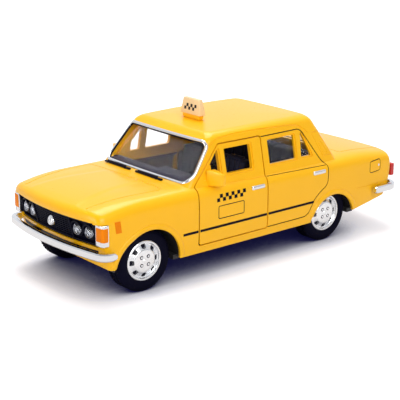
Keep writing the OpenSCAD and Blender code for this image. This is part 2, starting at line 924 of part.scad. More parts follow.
// Goose-neck arm: an eye on the pin, a neck that goes in round the wing, and a foot on the door
module door_hinge() {
    neck = [hinge_x - hinge_neck_in, hinge_y + hinge_neck_back];
    elbow = [hinge_x - hinge_elbow_in, hinge_y + hinge_elbow_back];
    foot_x = half_w - door_t - seat_gap;
    foot = [foot_x - hinge_arm_t / 2, hinge_y + hinge_foot_back];
    translate([0, 0, hinge_arm_z])
        difference() {
            union() {
                translate([hinge_x, hinge_y, 0])
                    cylinder(r = hinge_eye_r, h = hinge_arm_h);
                bar([hinge_x, hinge_y], neck, hinge_arm_t, hinge_arm_h);
                bar(neck, elbow, hinge_arm_t, hinge_arm_h);
                bar(elbow, foot, hinge_arm_t, hinge_arm_h);
                translate([foot_x - hinge_arm_t, foot.y - hinge_arm_t / 2, 0])
                    cube([hinge_arm_t, hinge_foot_l, hinge_arm_h]);
            }
            translate([hinge_x, hinge_y, -overrun])
                cylinder(r = hinge_pin_r + run_gap, h = hinge_arm_h + 2 * overrun);
        }
}

// A flat bar of thickness t between two plan points, with a round knuckle where it starts
module bar(a, b, t, h) {
    d = b - a;
    translate([a.x, a.y, 0])
        rotate([0, 0, atan2(d.y, d.x)])
            translate([0, -t / 2, 0])
                cube([norm(d), t, h]);
    translate([a.x, a.y, 0])
        cylinder(r = t / 2 + hinge_knuckle, h = h);
}

module left_door_hinge() {
    color([0.55, 0.56, 0.58])
        door_hinge();
}

module right_door_hinge() {
    color([0.55, 0.56, 0.58])
        mirror([1, 0, 0])
            door_hinge();
}

module hinge_pins() {
    z = hinge_arm_z - hinge_lug_gap - hinge_lug_h;
    color([0.7, 0.71, 0.73])
        for (side = [-1, 1])
            translate([side * hinge_x, hinge_y, z])
                cylinder(r = hinge_pin_r, h = hinge_arm_h + 2 * (hinge_lug_gap + hinge_lug_h));
}

// The cabin's outer side at a place along the car and a height
function cabin_side_x(y, z) =
    let (
        w = cabin_half_w - (z - deck_z) * cabin_lean_share,
        y0 = screen_base_y + (z - deck_z) * screen_rake_share,
        y1 = back_base_y - (z - deck_z) * back_rake_share
    )
    w - cabin_side_bow * pow(2 * (y - y0) / (y1 - y0) - 1, 2);

// A rounded mirror housing on a short foot at the door's front corner
module mirror_piece() {
    z = deck_z + mirror_h / 2 - mirror_drop;
    x = half_w - mirror_in + mirror_w / 2;
    y = door_front_y + mirror_back + mirror_l / 2;
    foot_z = deck_z + mirror_foot_rise;
    foot_x = cabin_side_x(y, foot_z) + seat_gap;
    hull()
        for (dx = [-1, 1], dz = [-1, 1])
            translate([
                x + dx * (mirror_w / 2 - mirror_round), y, z + dz * (mirror_h / 2 - mirror_round)
            ])
                rotate([90, 0, 0])
                    cylinder(r = mirror_round, h = mirror_l, center = true, $fn = 24);
    translate([foot_x, y - mirror_foot_l / 2, foot_z])
        cube([x - foot_x, mirror_foot_l, mirror_foot_h]);
}

module left_mirror() {
    color([1, 0.76, 0.16])
        mirror_piece();
}

module right_mirror() {
    color([1, 0.76, 0.16])
        mirror([1, 0, 0])
            mirror_piece();
}

// One cell of a shell between two sets of rings: rows i to i + 1, columns j to k
module shell_cell(outer, inner, i, j, k) {
    points = [for (r = [i, i + 1], c = [j, k], rings = [outer, inner]) rings[r][c]];
    hull()
        polyhedron(points = points, faces = [[for (n = [0 : len(points) - 1]) n]]);
}

// Rows and columns of cells, columns counted round the ring from its right front corner
module shell_patch(outer, inner, rows, columns) {
    n = len(outer[0]);
    for (i = rows, j = columns)
        shell_cell(outer, inner, i, (j + n) % n, (j + 1 + n) % n);
}

// One clear moulding: windscreen, rear screen, rear side panes and a web under the roof
module glazing() {
    outer = cabin_rings(wall + seat_gap);
    inner = cabin_rings(wall + seat_gap + glass_t);
    n = len(outer[0]);
    corner = corner_steps + 1;
    rear = corner + side_steps - 1;
    middle = rear + corner + end_steps / 2 - 1;
    rear_last = rear + 2 * corner + side_steps / 2 + end_steps - 2;
    screen_rows = [1 : edge_steps + 1];
    web_rows = [edge_steps + 2 : len(outer) - 2];
    top = len(outer) - 1;
    color([0.85, 0.9, 0.92, 0.4])
        difference() {
            union() {
                shell_patch(outer, inner, screen_rows, [-end_steps - corner_steps : corner_steps - 1]);
                shell_patch(outer, inner, screen_rows, [rear - side_steps / 2 - 1 : rear_last]);
                shell_patch(outer, inner, web_rows, [-end_steps / 2 - 1, -end_steps / 2]);
                shell_patch(outer, inner, web_rows, [middle - 1, middle]);
                web_bridge(outer[top], inner[top], n - end_steps / 2, middle);
            }
            side_prism(door_points, door_corner_r, wall);
        }
}

// The middle of the web, between the two ends of the last ring
module web_bridge(outer, inner, front, back) {
    points = [for (c = [front - 1, front, front + 1, back - 1, back, back + 1]) each [outer[c], inner[c]]];
    hull()
        polyhedron(points = points, faces = [[for (n = [0 : len(points) - 1]) n]]);
}

// Wheel pieces are turned about their own axis, then laid along X
module wheel_place(axle_y, side) {
    translate([0, axle_y, axle_z])
        on_side(side)
            translate([wheel_in_x, 0, 0])
                rotate([0, 90, 0])
                    children();
}

module tyre() {
    rotate_extrude()
        difference() {
            polygon([
                [rim_r, 0],
                [tyre_r - tyre_shoulder - tyre_bulge, 0],
                [tyre_r - tyre_bulge, tyre_shoulder / 2],
                [tyre_r, tyre_shoulder],
                [tyre_r, tyre_w - tyre_shoulder],
                [tyre_r - tyre_bulge, tyre_w - tyre_shoulder / 2],
                [tyre_r - tyre_shoulder - tyre_bulge, tyre_w],
                [rim_r, tyre_w - rim_recess]
            ]);
            for (k = [1 : tread_grooves])
                translate([tyre_r - tread_groove, tyre_w * k / (tread_grooves + 1) - tread_groove_w / 2])
                    square([tread_groove + overrun, tread_groove_w]);
        }
}

module rim() {
    face = tyre_w - rim_recess;
    difference() {
        union() {
            rotate_extrude()
                polygon([
                    [axle_r, axle_in],
                    [hub_r, axle_in],
                    [hub_r, rim_back],
                    [rim_r, rim_back],
                    [rim_r, face],
                    [rim_r - rim_lip, face],
                    [rim_r - rim_lip - rim_dish / 2, face - rim_dish],
                    [hub_r + hub_rise, face - rim_dish],
                    [hub_r, face - rim_dish + hub_rise],
                    [axle_r, face - rim_dish + hub_rise]
                ]);
            for (k = [1 : nut_count])
                rotate(k * 360 / nut_count)
                    translate([nut_ring_r, 0, face - rim_dish])
                        cylinder(r = nut_r, h = hub_rise + nut_rise);
            translate([0, 0, face - rim_dish])
                cylinder(r = axle_r + nut_rise, h = hub_rise);
        }
        for (k = [1 : rim_slots])
            rotate(k * 360 / rim_slots)
                translate([slot_in_r, -slot_w / 2, face - rim_dish - slot_depth])
                    cube([slot_l, slot_w, slot_depth + rim_dish]);
        translate([0, 0, axle_in - overrun])
            cylinder(r = axle_r, h = face - rim_dish - axle_in + overrun);
    }
}

module wheel_rim(axle_y, side) {
    color([0.8, 0.81, 0.83])
        wheel_place(axle_y, side)
            rim();
}

module wheel_tyre(axle_y, side) {
    color([0.06, 0.06, 0.07])
        wheel_place(axle_y, side)
            tyre();
}

module wheel_axle(axle_y) {
    half = wheel_out_x - rim_recess - rim_dish;
    color([0.7, 0.71, 0.73])
        translate([-half, axle_y, axle_z])
            rotate([0, 90, 0])
                cylinder(r = axle_r, h = 2 * half);
}

// Base plate outline with room for the four wheels
module base_outline() {
    half = half_w - sill_tuck - wall - base_side_gap;
    y0 = nose_y + base_end_front;
    y1 = tail_y - base_end_rear;
    difference() {
        polygon([
            [base_corner - half, y0], [half - base_corner, y0], [half, y0 + base_corner],
            [half, y1 - base_corner], [half - base_corner, y1], [base_corner - half, y1],
            [-half, y1 - base_corner], [-half, y0 + base_corner]
        ]);
        for (y = [front_axle_y, rear_axle_y], side = [-1, 1])
            translate([side * half, y])
                square([2 * (half - wheel_in_x + wheel_room), 2 * (tyre_r + wheel_room)], center = true);
        translate([-case_half_w - seat_gap, case_front_y - seat_gap])
            square([2 * (case_half_w + seat_gap), case_rear_y - case_front_y + 2 * seat_gap]);
    }
}

module base_plate() {
    saddle_top = axle_z + axle_r + saddle_cap;
    color([0.09, 0.09, 0.1])
        difference() {
            union() {
                translate([0, 0, base_z])
                    linear_extrude(base_t)
                        base_outline();
                for (side = [-1, 1]) {
                    translate([side * saddle_x - saddle_w / 2, front_axle_y - saddle_l / 2, base_z])
                        cube([saddle_w, saddle_l, saddle_top - base_z]);
                    for (y = [tub_front_y + tub_post_r, case_front_y - 2 * tub_post_r])
                        translate([side * tub_post_x, y, base_z])
                            cylinder(r = tub_post_r, h = floor_z - base_z);
                }
                base_ribs();
            }
            translate([-half_w, front_axle_y, axle_z])
                rotate([0, 90, 0])
                    cylinder(r = axle_r + run_gap, h = body_w);
            translate([-half_w, rear_axle_y, axle_z])
                rotate([0, 90, 0])
                    cylinder(r = axle_r + axle_relief, h = body_w);
            for (y = [front_post_y, rear_post_y]) {
                translate([0, y, base_z - overrun])
                    cylinder(r = screw_r + seat_gap, h = base_t + 2 * overrun);
                translate([0, y, base_z - overrun])
                    cylinder(r = screw_head_r + seat_gap, h = screw_head_h + overrun);
            }
        }
}

// Cast ribs under the cabin floor
module base_ribs() {
    l = case_front_y - front_post_y - 4 * post_r;
    for (k = [1 : rib_count])
        translate([
            (k - (rib_count + 1) / 2) * 2 * tub_post_x / rib_count - rib_w / 2,
            front_post_y + 2 * post_r, base_z - rib_h
        ])
            cube([rib_w, l * rib_l_share, rib_h + base_t / 2]);
}

module base_screws() {
    color([0.6, 0.61, 0.63])
        for (y = [front_post_y, rear_post_y])
            translate([0, y, base_z])
                difference() {
                    union() {
                        cylinder(r = screw_head_r, h = screw_head_h);
                        cylinder(r = screw_r, h = screw_l);
                    }
                    translate([-screw_head_r - overrun, -screw_slot_w / 2, -overrun])
                        cube([2 * (screw_head_r + overrun), screw_slot_w, screw_slot_depth + overrun]);
                }
}

// A rounded block, long edges along X
module pad(size, r) {
    hull()
        for (y = [r, size.y - r], z = [r, size.z - r])
            translate([0, y, z])
                rotate([0, 90, 0])
                    cylinder(r = r, h = size.x, $fn = 24);
}

// A seat back that leans rearwards
module seat_back(w, t, h, lean, r) {
    hull() {
        translate([0, r, r])
            rotate([0, 90, 0])
                cylinder(r = r, h = w, $fn = 24);
        translate([0, t - r, r])
            rotate([0, 90, 0])
                cylinder(r = r, h = w, $fn = 24);
        translate([0, lean + t / 2, h - r])
            rotate([0, 90, 0])
                cylinder(r = r, h = w, $fn = 24);
        translate([0, lean + t - r, h - r])
            rotate([0, 90, 0])
                cylinder(r = r, h = w, $fn = 24);
    }
}

module interior_tub() {
    floor_top = floor_z + floor_t;
    bench_z = max(case_top_z + cover_t + free_gap, tyre_d + wheel_room);
    bench_y = case_front_y - bulkhead_t - seat_gap;
    bench_l = back_base_y - cabin_h * back_rake_share - bench_y;
    color([0.13, 0.14, 0.2]) {
        translate([-tub_half_w, tub_front_y, floor_z])
            cube([2 * tub_half_w, bench_y + bulkhead_t - tub_front_y, floor_t]);
        translate([-bulkhead_half_w, tub_front_y, floor_z])
            cube([2 * bulkhead_half_w, bulkhead_t, dash_z - floor_z]);
        translate([-wheel_in_x + wheel_room, bench_y, floor_z])
            cube([2 * (wheel_in_x - wheel_room), bulkhead_t, bench_z + floor_t - floor_z]);
        translate([-wheel_in_x + wheel_room, bench_y, bench_z])
            cube([2 * (wheel_in_x - wheel_room), bench_l, floor_t]);
        for (side = [-1, 1])
            translate([side * seat_x - seat_half_w, seat_back_y - seat_l, floor_top - overrun / 2]) {
                pad([2 * seat_half_w, seat_l, seat_h], seat_round);
                translate([0, seat_l - seat_back_t, seat_h - seat_round])
                    seat_back(2 * seat_half_w, seat_back_t, seat_back_h, seat_back_lean, seat_round);
            }
        translate([-bench_half_w, bench_y, bench_z])
            pad([2 * bench_half_w, bench_l - bench_back_t, bench_cushion_h], seat_round);
        translate([-bench_half_w, bench_y + bench_l - bench_back_t - bench_lean, bench_z])
            seat_back(
                2 * bench_half_w, bench_back_t, bench_back_h + bench_cushion_h, bench_lean, seat_round);
        translate([-tunnel_half_w, tub_front_y, floor_z])
            pad([2 * tunnel_half_w, bench_y - tub_front_y, tunnel_h], seat_round);
        translate([-shelf_half_w, bench_y + bench_l - seat_round, bench_z + bench_back_h])
            pad([2 * shelf_half_w, shelf_l, 2 * shelf_round], shelf_round);
    }
}

module dashboard() {
    y0 = tub_front_y - dash_lip;
    z1 = deck_z - dash_top_drop;
    color([0.3, 0.31, 0.34])
        difference() {
            union() {
                translate([-dash_half_w, 0, 0])
                    rotate([90, 0, 90])
                        linear_extrude(2 * dash_half_w)
                            polygon([
                                [y0, dash_z],
                                [y0 + dash_l - dash_lip, dash_z],
                                [y0 + dash_l, dash_z + dash_lip],
                                [y0 + dash_l - dash_lip / 2, z1 - dash_lip / 2],
                                [y0 + dash_l - dash_lip, z1],
                                [y0, z1]
                            ]);
                translate([seat_x - binnacle_w / 2, y0 + dash_l - dash_lip / 2 - binnacle_l, z1 - dash_lip])
                    cube([binnacle_w, binnacle_l, dash_lip + binnacle_h]);
            }
            column_place()
                translate([0, 0, -column_stub - seat_gap])
                    cylinder(r = column_r + seat_gap, h = column_stub + column_l);
        }
}

// The foot of the steering column on the rear face of the dashboard, pointing at the driver
module column_place() {
    translate([seat_x, tub_front_y - dash_lip + dash_l, dash_z + dash_lip])
        rotate([-wheel_tilt, 0, 0])
            children();
}

module steering_wheel() {
    color([0.08, 0.08, 0.09])
        column_place() {
                translate([0, 0, -column_stub])
                    cylinder(r = column_r, h = column_stub + column_l);
                translate([0, 0, column_l]) {
                    rotate_extrude()
                        translate([wheel_ring_r, 0])
                            circle(wheel_tube_r);
                    cylinder(r = wheel_boss_r, h = 2 * wheel_tube_r, center = true);
                    for (a = [0, 180])
                        rotate(a)
                            translate([0, -spoke_t / 2, -spoke_t / 2])
                                cube([wheel_ring_r, spoke_t, spoke_t]);
                }
            }
}

// The grille: a bowed, leaning plate with lamp pods, a frame and fine horizontal bars
module grille() {
    color([0.05, 0.05, 0.08])
        difference() {
            intersection() {
                translate([-grille_w / 2, -half_l - overrun, grille_bottom_z])
                    cube([grille_w, nose_depth + 2 * overrun, grille_h]);
                nose_drum(grille_recess, grille_h);
                grille_space(grille_recess + grille_t - seat_gap, 0);
            }
            for (k = [0 : grille_bar_count - 1])
                grille_slot(grille_bottom_z + grille_frame
                    + (grille_h - 2 * grille_frame) * (k + 0.5) / grille_bar_count);
            for (x = [-lamp_outer_x, -lamp_inner_x, lamp_inner_x, lamp_outer_x])
                lamp_place(x)
                    cylinder(d = headlamp_d + 2 * seat_gap, h = lamp_depth + 2 * overrun);
        }
}

// A shallow slot across the grille's middle panel
module grille_slot(z) {
    difference() {
        translate([-lamp_panel_half_w, -half_l - overrun, z - grille_bar / 2])
            cube([2 * lamp_panel_half_w, nose_depth, grille_bar]);
        nose_drum(grille_recess + grille_bar_depth, grille_h);
    }
}

// A frame at a headlamp's seat, with its axis pointing forwards out of the grille
module lamp_place(x) {
    translate([x, front_y(x, grille_mid_z) + grille_recess + lamp_depth, grille_mid_z])
        rotate([90, 0, 0])
            children();
}

module headlamps() {
    r = headlamp_d / 2;
    color([0.85, 0.87, 0.9])
        for (x = [-lamp_outer_x, -lamp_inner_x, lamp_inner_x, lamp_outer_x])
            lamp_place(x)
                rotate_extrude()
                    polygon([
                        [0, 0], [r, 0], [r, lamp_depth - lamp_dome],
                        [r - lamp_rim_w, lamp_depth - lamp_dome],
                        [r - lamp_rim_w, lamp_depth - lamp_dome - lamp_rim_w],
                        [r / 2, lamp_depth - lamp_dome / 2], [0, lamp_depth]
                    ]);
}

module grille_badge() {
    color([0.85, 0.86, 0.88])
        translate([0, front_y(0, grille_mid_z) + grille_recess - seat_gap, grille_mid_z])
            rotate([90 + grille_lean, 0, 0])
                rotate_extrude()
                    polygon([
                        [0, 0], [badge_r, 0], [badge_r, badge_t / 2],
                        [badge_r - badge_t / 2, badge_t], [0, badge_t]
                    ]);
}

module corner_lamps() {
    color([0.85, 0.86, 0.88])
        for (side = [-1, 1])
            on_side(side)
                difference() {
                    corner_space(0);
                    lens_space(seat_gap, lens_sink + seat_gap);
                }
}

// The band of a corner lamp that its amber lens fills
module lens_space(gap, sink) {
    translate([0, 0, corner_z - lens_h / 2 - gap])
        linear_extrude(lens_h + 2 * gap)
            polygon([
                [corner_x() + lens_sink - gap, corner_front() - overrun],
                [corner_x() + corner_w + overrun, corner_front() - overrun],
                [corner_x() + corner_w + overrun, corner_front() + corner_l - lens_sink + gap],
                [corner_x() + corner_w - sink, corner_front() + corner_l - lens_sink + gap],
                [corner_x() + corner_w - sink, corner_front() + corner_nose + sink / 2],
                [corner_x() + corner_w - corner_nose - sink / 2, corner_front() + sink + corner_sweep],
                [corner_x() + lens_sink - gap, corner_front() + sink]
            ]);
}

module indicator_lenses() {
    color([1, 0.5, 0.05])
        for (side = [-1, 1])
            on_side(side)
                intersection() {
                    lens_space(0, lens_sink);
                    translate([0, 0, corner_z - corner_h / 2])
                        linear_extrude(corner_h)
                            polygon(corner_plan(lens_proud));
                }
}

// A bumper bar swept round the plan of the nose or tail: a bow, two corners and two side runs
module bumper_bar(bow, wrap_l) {
    half = half_w + bumper_side_gap + bumper_t / 2;
    r = bumper_corner_r;
    flat = half - r;
    y_end = bow * pow(flat / half, 2);
    centre = concat(
        [[half, y_end + r + wrap_l, 90], [half, y_end + r + wrap_l / 2, 90]],
        [for (i = [0 : bumper_corner_steps])
            let (a = 90 * i / bumper_corner_steps)
            [flat + r * cos(a), y_end + r - r * sin(a), 90 - a]],
        [for (i = [1 : 2 * bumper_steps - 1])
            let (x = flat * (1 - i / bumper_steps))
            [x, bow * pow(x / half, 2), 0]],
        [for (i = [bumper_corner_steps : -1 : 0])
            let (a = 90 * i / bumper_corner_steps)
            [-flat - r * cos(a), y_end + r - r * sin(a), a - 90]],
        [[-half, y_end + r + wrap_l / 2, -90], [-half, y_end + r + wrap_l, -90]]
    );
    last = len(centre) - 1;
    skin([for (i = [0 : last])
        let (c = centre[i], share = (i == 0 || i == last) ? bumper_end_share : 1)
        [for (k = [0 : bumper_section_steps - 1])
            let (
                a = 360 * k / bumper_section_steps,
                out = bumper_t / 2 * signed_power(cos(a), bumper_square_share) * share,
                up = bumper_h / 2 * signed_power(sin(a), bumper_square_share) * share
            )
            [c.x + out * sin(c.z), c.y - out * cos(c.z), bumper_z + up]]]);
}

module front_bumper() {
    color([0.88, 0.89, 0.9])
        translate([0, bumper_t / 2 - half_l, 0])
            bumper_bar(nose_bow, bumper_wrap_front - bumper_corner_r);
}

module rear_bumper() {
    color([0.88, 0.89, 0.9])
        mirror([0, 1, 0])
            translate([0, bumper_t / 2 - half_l, 0])
                bumper_bar(tail_bow, bumper_wrap_rear - bumper_corner_r);
}

module tail_lamp_space(gap) {
    translate([
        half_w - tail_lamp_in - tail_lamp_w - gap, tail_y - tail_bow - tail_lamp_depth - gap,
        tail_lamp_z - tail_lamp_h / 2 - gap
    ])
        cube([tail_lamp_w + 2 * gap, tail_lamp_depth + tail_lamp_proud + tail_bow, tail_lamp_h + 2 * gap]);
}

module tail_lamps() {
    color([0.8, 0.06, 0.05])
        for (side = [-1, 1])
            on_side(side)
                translate([
                    half_w - tail_lamp_in - tail_lamp_w, tail_y - tail_bow - tail_lamp_depth,
                    tail_lamp_z - tail_lamp_h / 2
                ])
                    cube([tail_lamp_w, tail_lamp_depth + tail_lamp_proud, tail_lamp_h]);
}

// A tapered block whose foot and head are rectangles of the given widths and lengths
module tapered_block(w0, l0, w1, l1, h, r) {
    hull()
        for (sx = [-1, 1], sy = [-1, 1]) {
            translate([sx * (w0 / 2 - r), sy * (l0 / 2 - r), 0])
                cylinder(r = r, h = r, $fn = 16);
            translate([sx * (w1 / 2 - r), sy * (l1 / 2 - r), h - r])
                cylinder(r = r, h = r, $fn = 16);
        }
}

module roof_sign_base() {
    color([1, 0.76, 0.16])
        translate([0, sign_y, roof_z + sign_pad_h])
            tapered_block(
                sign_w * sign_foot_share, sign_l * sign_foot_share,
                sign_w, sign_l, sign_base_h, sign_round);
}

module roof_sign() {
    color([0.95, 0.83, 0.6])
        translate([0, sign_y, roof_z + sign_pad_h + sign_base_h])
            tapered_block(
                sign_w, sign_l, sign_w * sign_top_share, sign_l * sign_top_l_share, sign_h, sign_round);
}

module wipers() {
    color([0.06, 0.06, 0.07])
        for (k = [0, 1])
            translate([
                wiper_x - k * wiper_pitch - wiper_l / 2, screen_base_y - wiper_ahead, deck_z + seat_gap
            ])
                cube([wiper_l, wiper_w, wiper_h]);
}

// Involute gear outline with its first tooth on the +X side
function involute(a) = tan(a) * 180 / PI - a;
function tooth_half(teeth, r) =
    let (base = gear_module * teeth / 2 * cos(pressure_angle), a = acos(min(1, base / r)))
    90 / teeth * (1 - backlash_share) + involute(pressure_angle) - involute(a);
function gear_points(teeth) =
    let (
        pitch_r = gear_module * teeth / 2,
        base_r = pitch_r * cos(pressure_angle),
        tip_r = pitch_r + addendum_share * gear_module,
        root_r = pitch_r - dedendum_share * gear_module,
        low_r = max(base_r, root_r),
        radii = concat([root_r], [for (i = [0 : flank_steps]) mix(low_r, tip_r, i / flank_steps)]),
        halves = [for (v = radii) tooth_half(teeth, max(v, low_r))],
        count = len(radii)
    )
    [for (k = [0 : teeth - 1]) each concat(
        [for (i = [0 : count - 1]) polar(radii[i], 360 * k / teeth - halves[i])],
        [for (i = [count - 1 : -1 : 0]) polar(radii[i], 360 * k / teeth + halves[i])]
    )];
function polar(r, a) = r * [cos(a), sin(a)];

// A gear on an axis along X, through a point of the side view
module gear(point, teeth, turn, bore_r) {
    translate([gear_x, point.x, point.y])
        rotate([90, 0, 90])
            difference() {
                rotate(turn)
                    linear_extrude(gear_w)
                        polygon(gear_points(teeth));
                translate([0, 0, -overrun])
                    cylinder(r = bore_r, h = gear_w + 2 * overrun);
            }
}

module axle_gear() {
    color([0.9, 0.88, 0.8])
        gear(axle_point, axle_teeth, axle_turn, axle_r);
}

module idler_gear() {
    color([0.9, 0.88, 0.8])
        gear(idler_point, idler_teeth, idler_turn, motor_pin_r + run_gap);
}

// The drum's gear with a cup beside it that holds the mainspring
module spring_drum() {
    cup_r = drum_gear_r - gear_module * dedendum_share - drum_wall;
    color([0.9, 0.88, 0.8]) {
        gear(drum_point, drum_teeth, drum_turn, motor_pin_r + run_gap);
        translate([gear_x - drum_barrel_w, drum_point.x, drum_point.y])
            rotate([0, 90, 0]) {
                difference() {
                    cylinder(r = cup_r, h = drum_barrel_w);
                    translate([0, 0, -overrun])
                        cylinder(r = cup_r - drum_wall, h = drum_barrel_w + overrun);
                }
                difference() {
                    cylinder(r = arbor_r, h = drum_barrel_w);
                    translate([0, 0, -overrun])
                        cylinder(r = motor_pin_r + run_gap, h = drum_barrel_w + 2 * overrun);
                }
            }
    }
}

// A flat spring strip wound outwards from the arbor
module mainspring() {
    cup_r = drum_gear_r - gear_module * dedendum_share - 2 * drum_wall;
    r0 = arbor_r + spring_t / 2 + seat_gap;
    r1 = cup_r - spring_t / 2 - seat_gap;
    steps = spring_turns * 360 / spring_step;
    path = [for (i = [0 : steps]) [mix(r0, r1, i / steps), i * spring_step]];
    color([0.5, 0.52, 0.55])
        translate([gear_x - drum_barrel_w + spring_gap, drum_point.x, drum_point.y])
            rotate([90, 0, 90])
                linear_extrude(drum_barrel_w - 2 * spring_gap)
                    polygon(concat(
                        [for (p = path) polar(p.x + spring_t / 2, p.y)],
                        [for (i = [steps : -1 : 0]) polar(path[i].x - spring_t / 2, path[i].y)]
                    ));
}

module motor_pins() {
    color([0.7, 0.71, 0.73])
        for (p = [idler_point, drum_point])
            translate([-case_half_w, p.x, p.y])
                rotate([0, 90, 0])
                    cylinder(r = motor_pin_r, h = 2 * case_half_w);
}

module motor_case() {
    l = case_rear_y - case_front_y;
    color([0.16, 0.16, 0.18])
        difference() {
            union() {
                translate([-case_half_w, case_front_y, case_bottom_z])
                    cube([2 * case_half_w, l, case_top_z - case_bottom_z]);
                translate([-case_half_w - flange_w, case_front_y, base_top_z])
                    cube([2 * (case_half_w + flange_w), l, flange_t]);
            }
            translate([case_wall - case_half_w, case_front_y + case_wall, case_bottom_z + case_wall])
                cube([2 * (case_half_w - case_wall), l - 2 * case_wall, case_top_z - case_bottom_z]);
            translate([-half_w, rear_axle_y, axle_z])
                rotate([0, 90, 0])
                    cylinder(r = axle_r + run_gap, h = body_w);
            for (p = [idler_point, drum_point])
                translate([-half_w, p.x, p.y])
                    rotate([0, 90, 0])
                        cylinder(r = motor_pin_r + seat_gap, h = body_w);
        }
}

module motor_cover() {
    color([0.2, 0.2, 0.22])
        translate([-case_half_w, case_front_y, case_top_z])
            cube([2 * case_half_w, case_rear_y - case_front_y, cover_t]);
}

body_shell();
base_plate();
interior_tub();
dashboard();
steering_wheel();
glazing();
grille();
grille_badge();
headlamps();
corner_lamps();
indicator_lenses();
front_bumper();
rear_bumper();
tail_lamps();
roof_sign();
roof_sign_base();
wipers();
hinge_pins();
base_screws();
motor_case();
motor_cover();
motor_pins();
left_door();
left_door_hinge();
left_mirror();
right_door();
right_door_hinge();
right_mirror();
wheel_axle(front_axle_y);  // front_axle
wheel_rim(front_axle_y, 1);  // front_left_rim
wheel_rim(front_axle_y, -1);  // front_right_rim
wheel_tyre(front_axle_y, 1);  // front_left_tyre
wheel_tyre(front_axle_y, -1);  // front_right_tyre
wheel_axle(rear_axle_y);  // rear_axle
wheel_rim(rear_axle_y, 1);  // rear_left_rim
wheel_rim(rear_axle_y, -1);  // rear_right_rim
wheel_tyre(rear_axle_y, 1);  // rear_left_tyre
wheel_tyre(rear_axle_y, -1);  // rear_right_tyre
axle_gear();
idler_gear();
spring_drum();
mainspring();
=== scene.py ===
import math
from contextlib import contextmanager

import bmesh
import bpy
import numpy as np
from mathutils import Matrix, Vector
from mathutils.bvhtree import BVHTree


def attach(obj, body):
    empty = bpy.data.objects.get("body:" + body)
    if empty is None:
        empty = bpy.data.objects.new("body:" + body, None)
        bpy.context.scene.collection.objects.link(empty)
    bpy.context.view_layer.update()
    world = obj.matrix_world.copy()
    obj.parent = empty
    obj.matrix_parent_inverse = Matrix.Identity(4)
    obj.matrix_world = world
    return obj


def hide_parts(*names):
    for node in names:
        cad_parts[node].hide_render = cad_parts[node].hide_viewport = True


bl_info = {
    "name": "Toy taxi",
    "version": (1, 0, 0),
    "blender": (4, 5, 0),
    "location": "3D View > Sidebar > Taxi",
    "description": "Dresses the solids of a small die-cast taxi with smooth, detailed pieces",
    "category": "Object",
}

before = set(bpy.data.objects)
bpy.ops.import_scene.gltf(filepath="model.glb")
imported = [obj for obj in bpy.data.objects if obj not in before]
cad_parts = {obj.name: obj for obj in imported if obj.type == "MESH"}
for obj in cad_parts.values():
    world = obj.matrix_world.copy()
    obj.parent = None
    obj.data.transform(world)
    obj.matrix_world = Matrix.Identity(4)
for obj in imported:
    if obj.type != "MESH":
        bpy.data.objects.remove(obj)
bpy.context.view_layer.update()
MM = 0.001

# From these angles between faces an edge is shaded sharp, is shaded sharp on a wheel, and is bevelled
SHARP, WHEEL_SHARP, BEVEL_FROM = math.radians(38), math.radians(30), math.radians(30)

# The car in millimetres: it faces -Y, its left side is +X and it stands on Z = 0
HALF_L, HALF_W = 55.0, 20.8
CLEAR, NOSE_CLEAR, TAIL_CLEAR = 24.0, -57.0, 56.0  # beyond the sides, the nose and the tail

# Lower body
NOSE_Y, TAIL_Y = -54.3, 53.7
DECK_Z, CREASE_Z, SILL_Z, LIP_Z, WAIST_Z = 25.2, 14.0, 7.0, 21.2, 24.3
NOSE_LEAN, NOSE_BOW, NOSE_ROUND, NOSE_DROP, NOSE_FALL = 0.27, 2.6, 2.2, 2.0, 16.0
TAIL_BOW, TAIL_ROUND, TAIL_DROP, TAIL_FALL = 1.0, 1.6, 1.7, 19.5
TAIL_TUCK, TAIL_TUCK_Z = 3.2, 19.0
WAIST_FALL, PLAN_TAPER, PLAN_POWER = 1.0, 0.7, 4
FRONT_RISE, FRONT_RISE_L, REAR_RISE, REAR_RISE_L = 1.0, 5.0, 2.6, 16.0
SILL_TUCK, SECTION_POWER = 0.5, 8
SIDE_ROUND, BOTTOM_ROUND = 0.45, 0.15
NOSE_DEPTH, TAIL_DEPTH, CABIN_FOOT = 5.6, 2.6, 4.6
WALL, DOOR_T = 1.0, 1.3

# Cabin; the fine counts of points are for what shows
CABIN_HALF_W, CABIN_LEAN, CABIN_H, SIDE_BOW = 19.05, 0.211, 12.3, 0.5
SCREEN_Y, SCREEN_RAKE, SCREEN_BOW = -23.7, 0.78, 0.5
BACK_Y, BACK_RAKE, BACK_BOW = 30.4, 0.62, 0.4
PILLAR_R, EDGE_Z, EDGE_H, CROWN = 1.75, 35.4, 1.8, 0.3
ROOF_IN = (2.6, 0.8, 1.0)
ROOF_FALL, ROOF_FALL_L, ROOF_PEAK = 0.3, 22.0, 26.5
FINE_CABIN = {"corner_n": 9, "side_n": 60, "end_n": 44, "wall_n": 14, "edge_n": 14, "crown_n": 12}

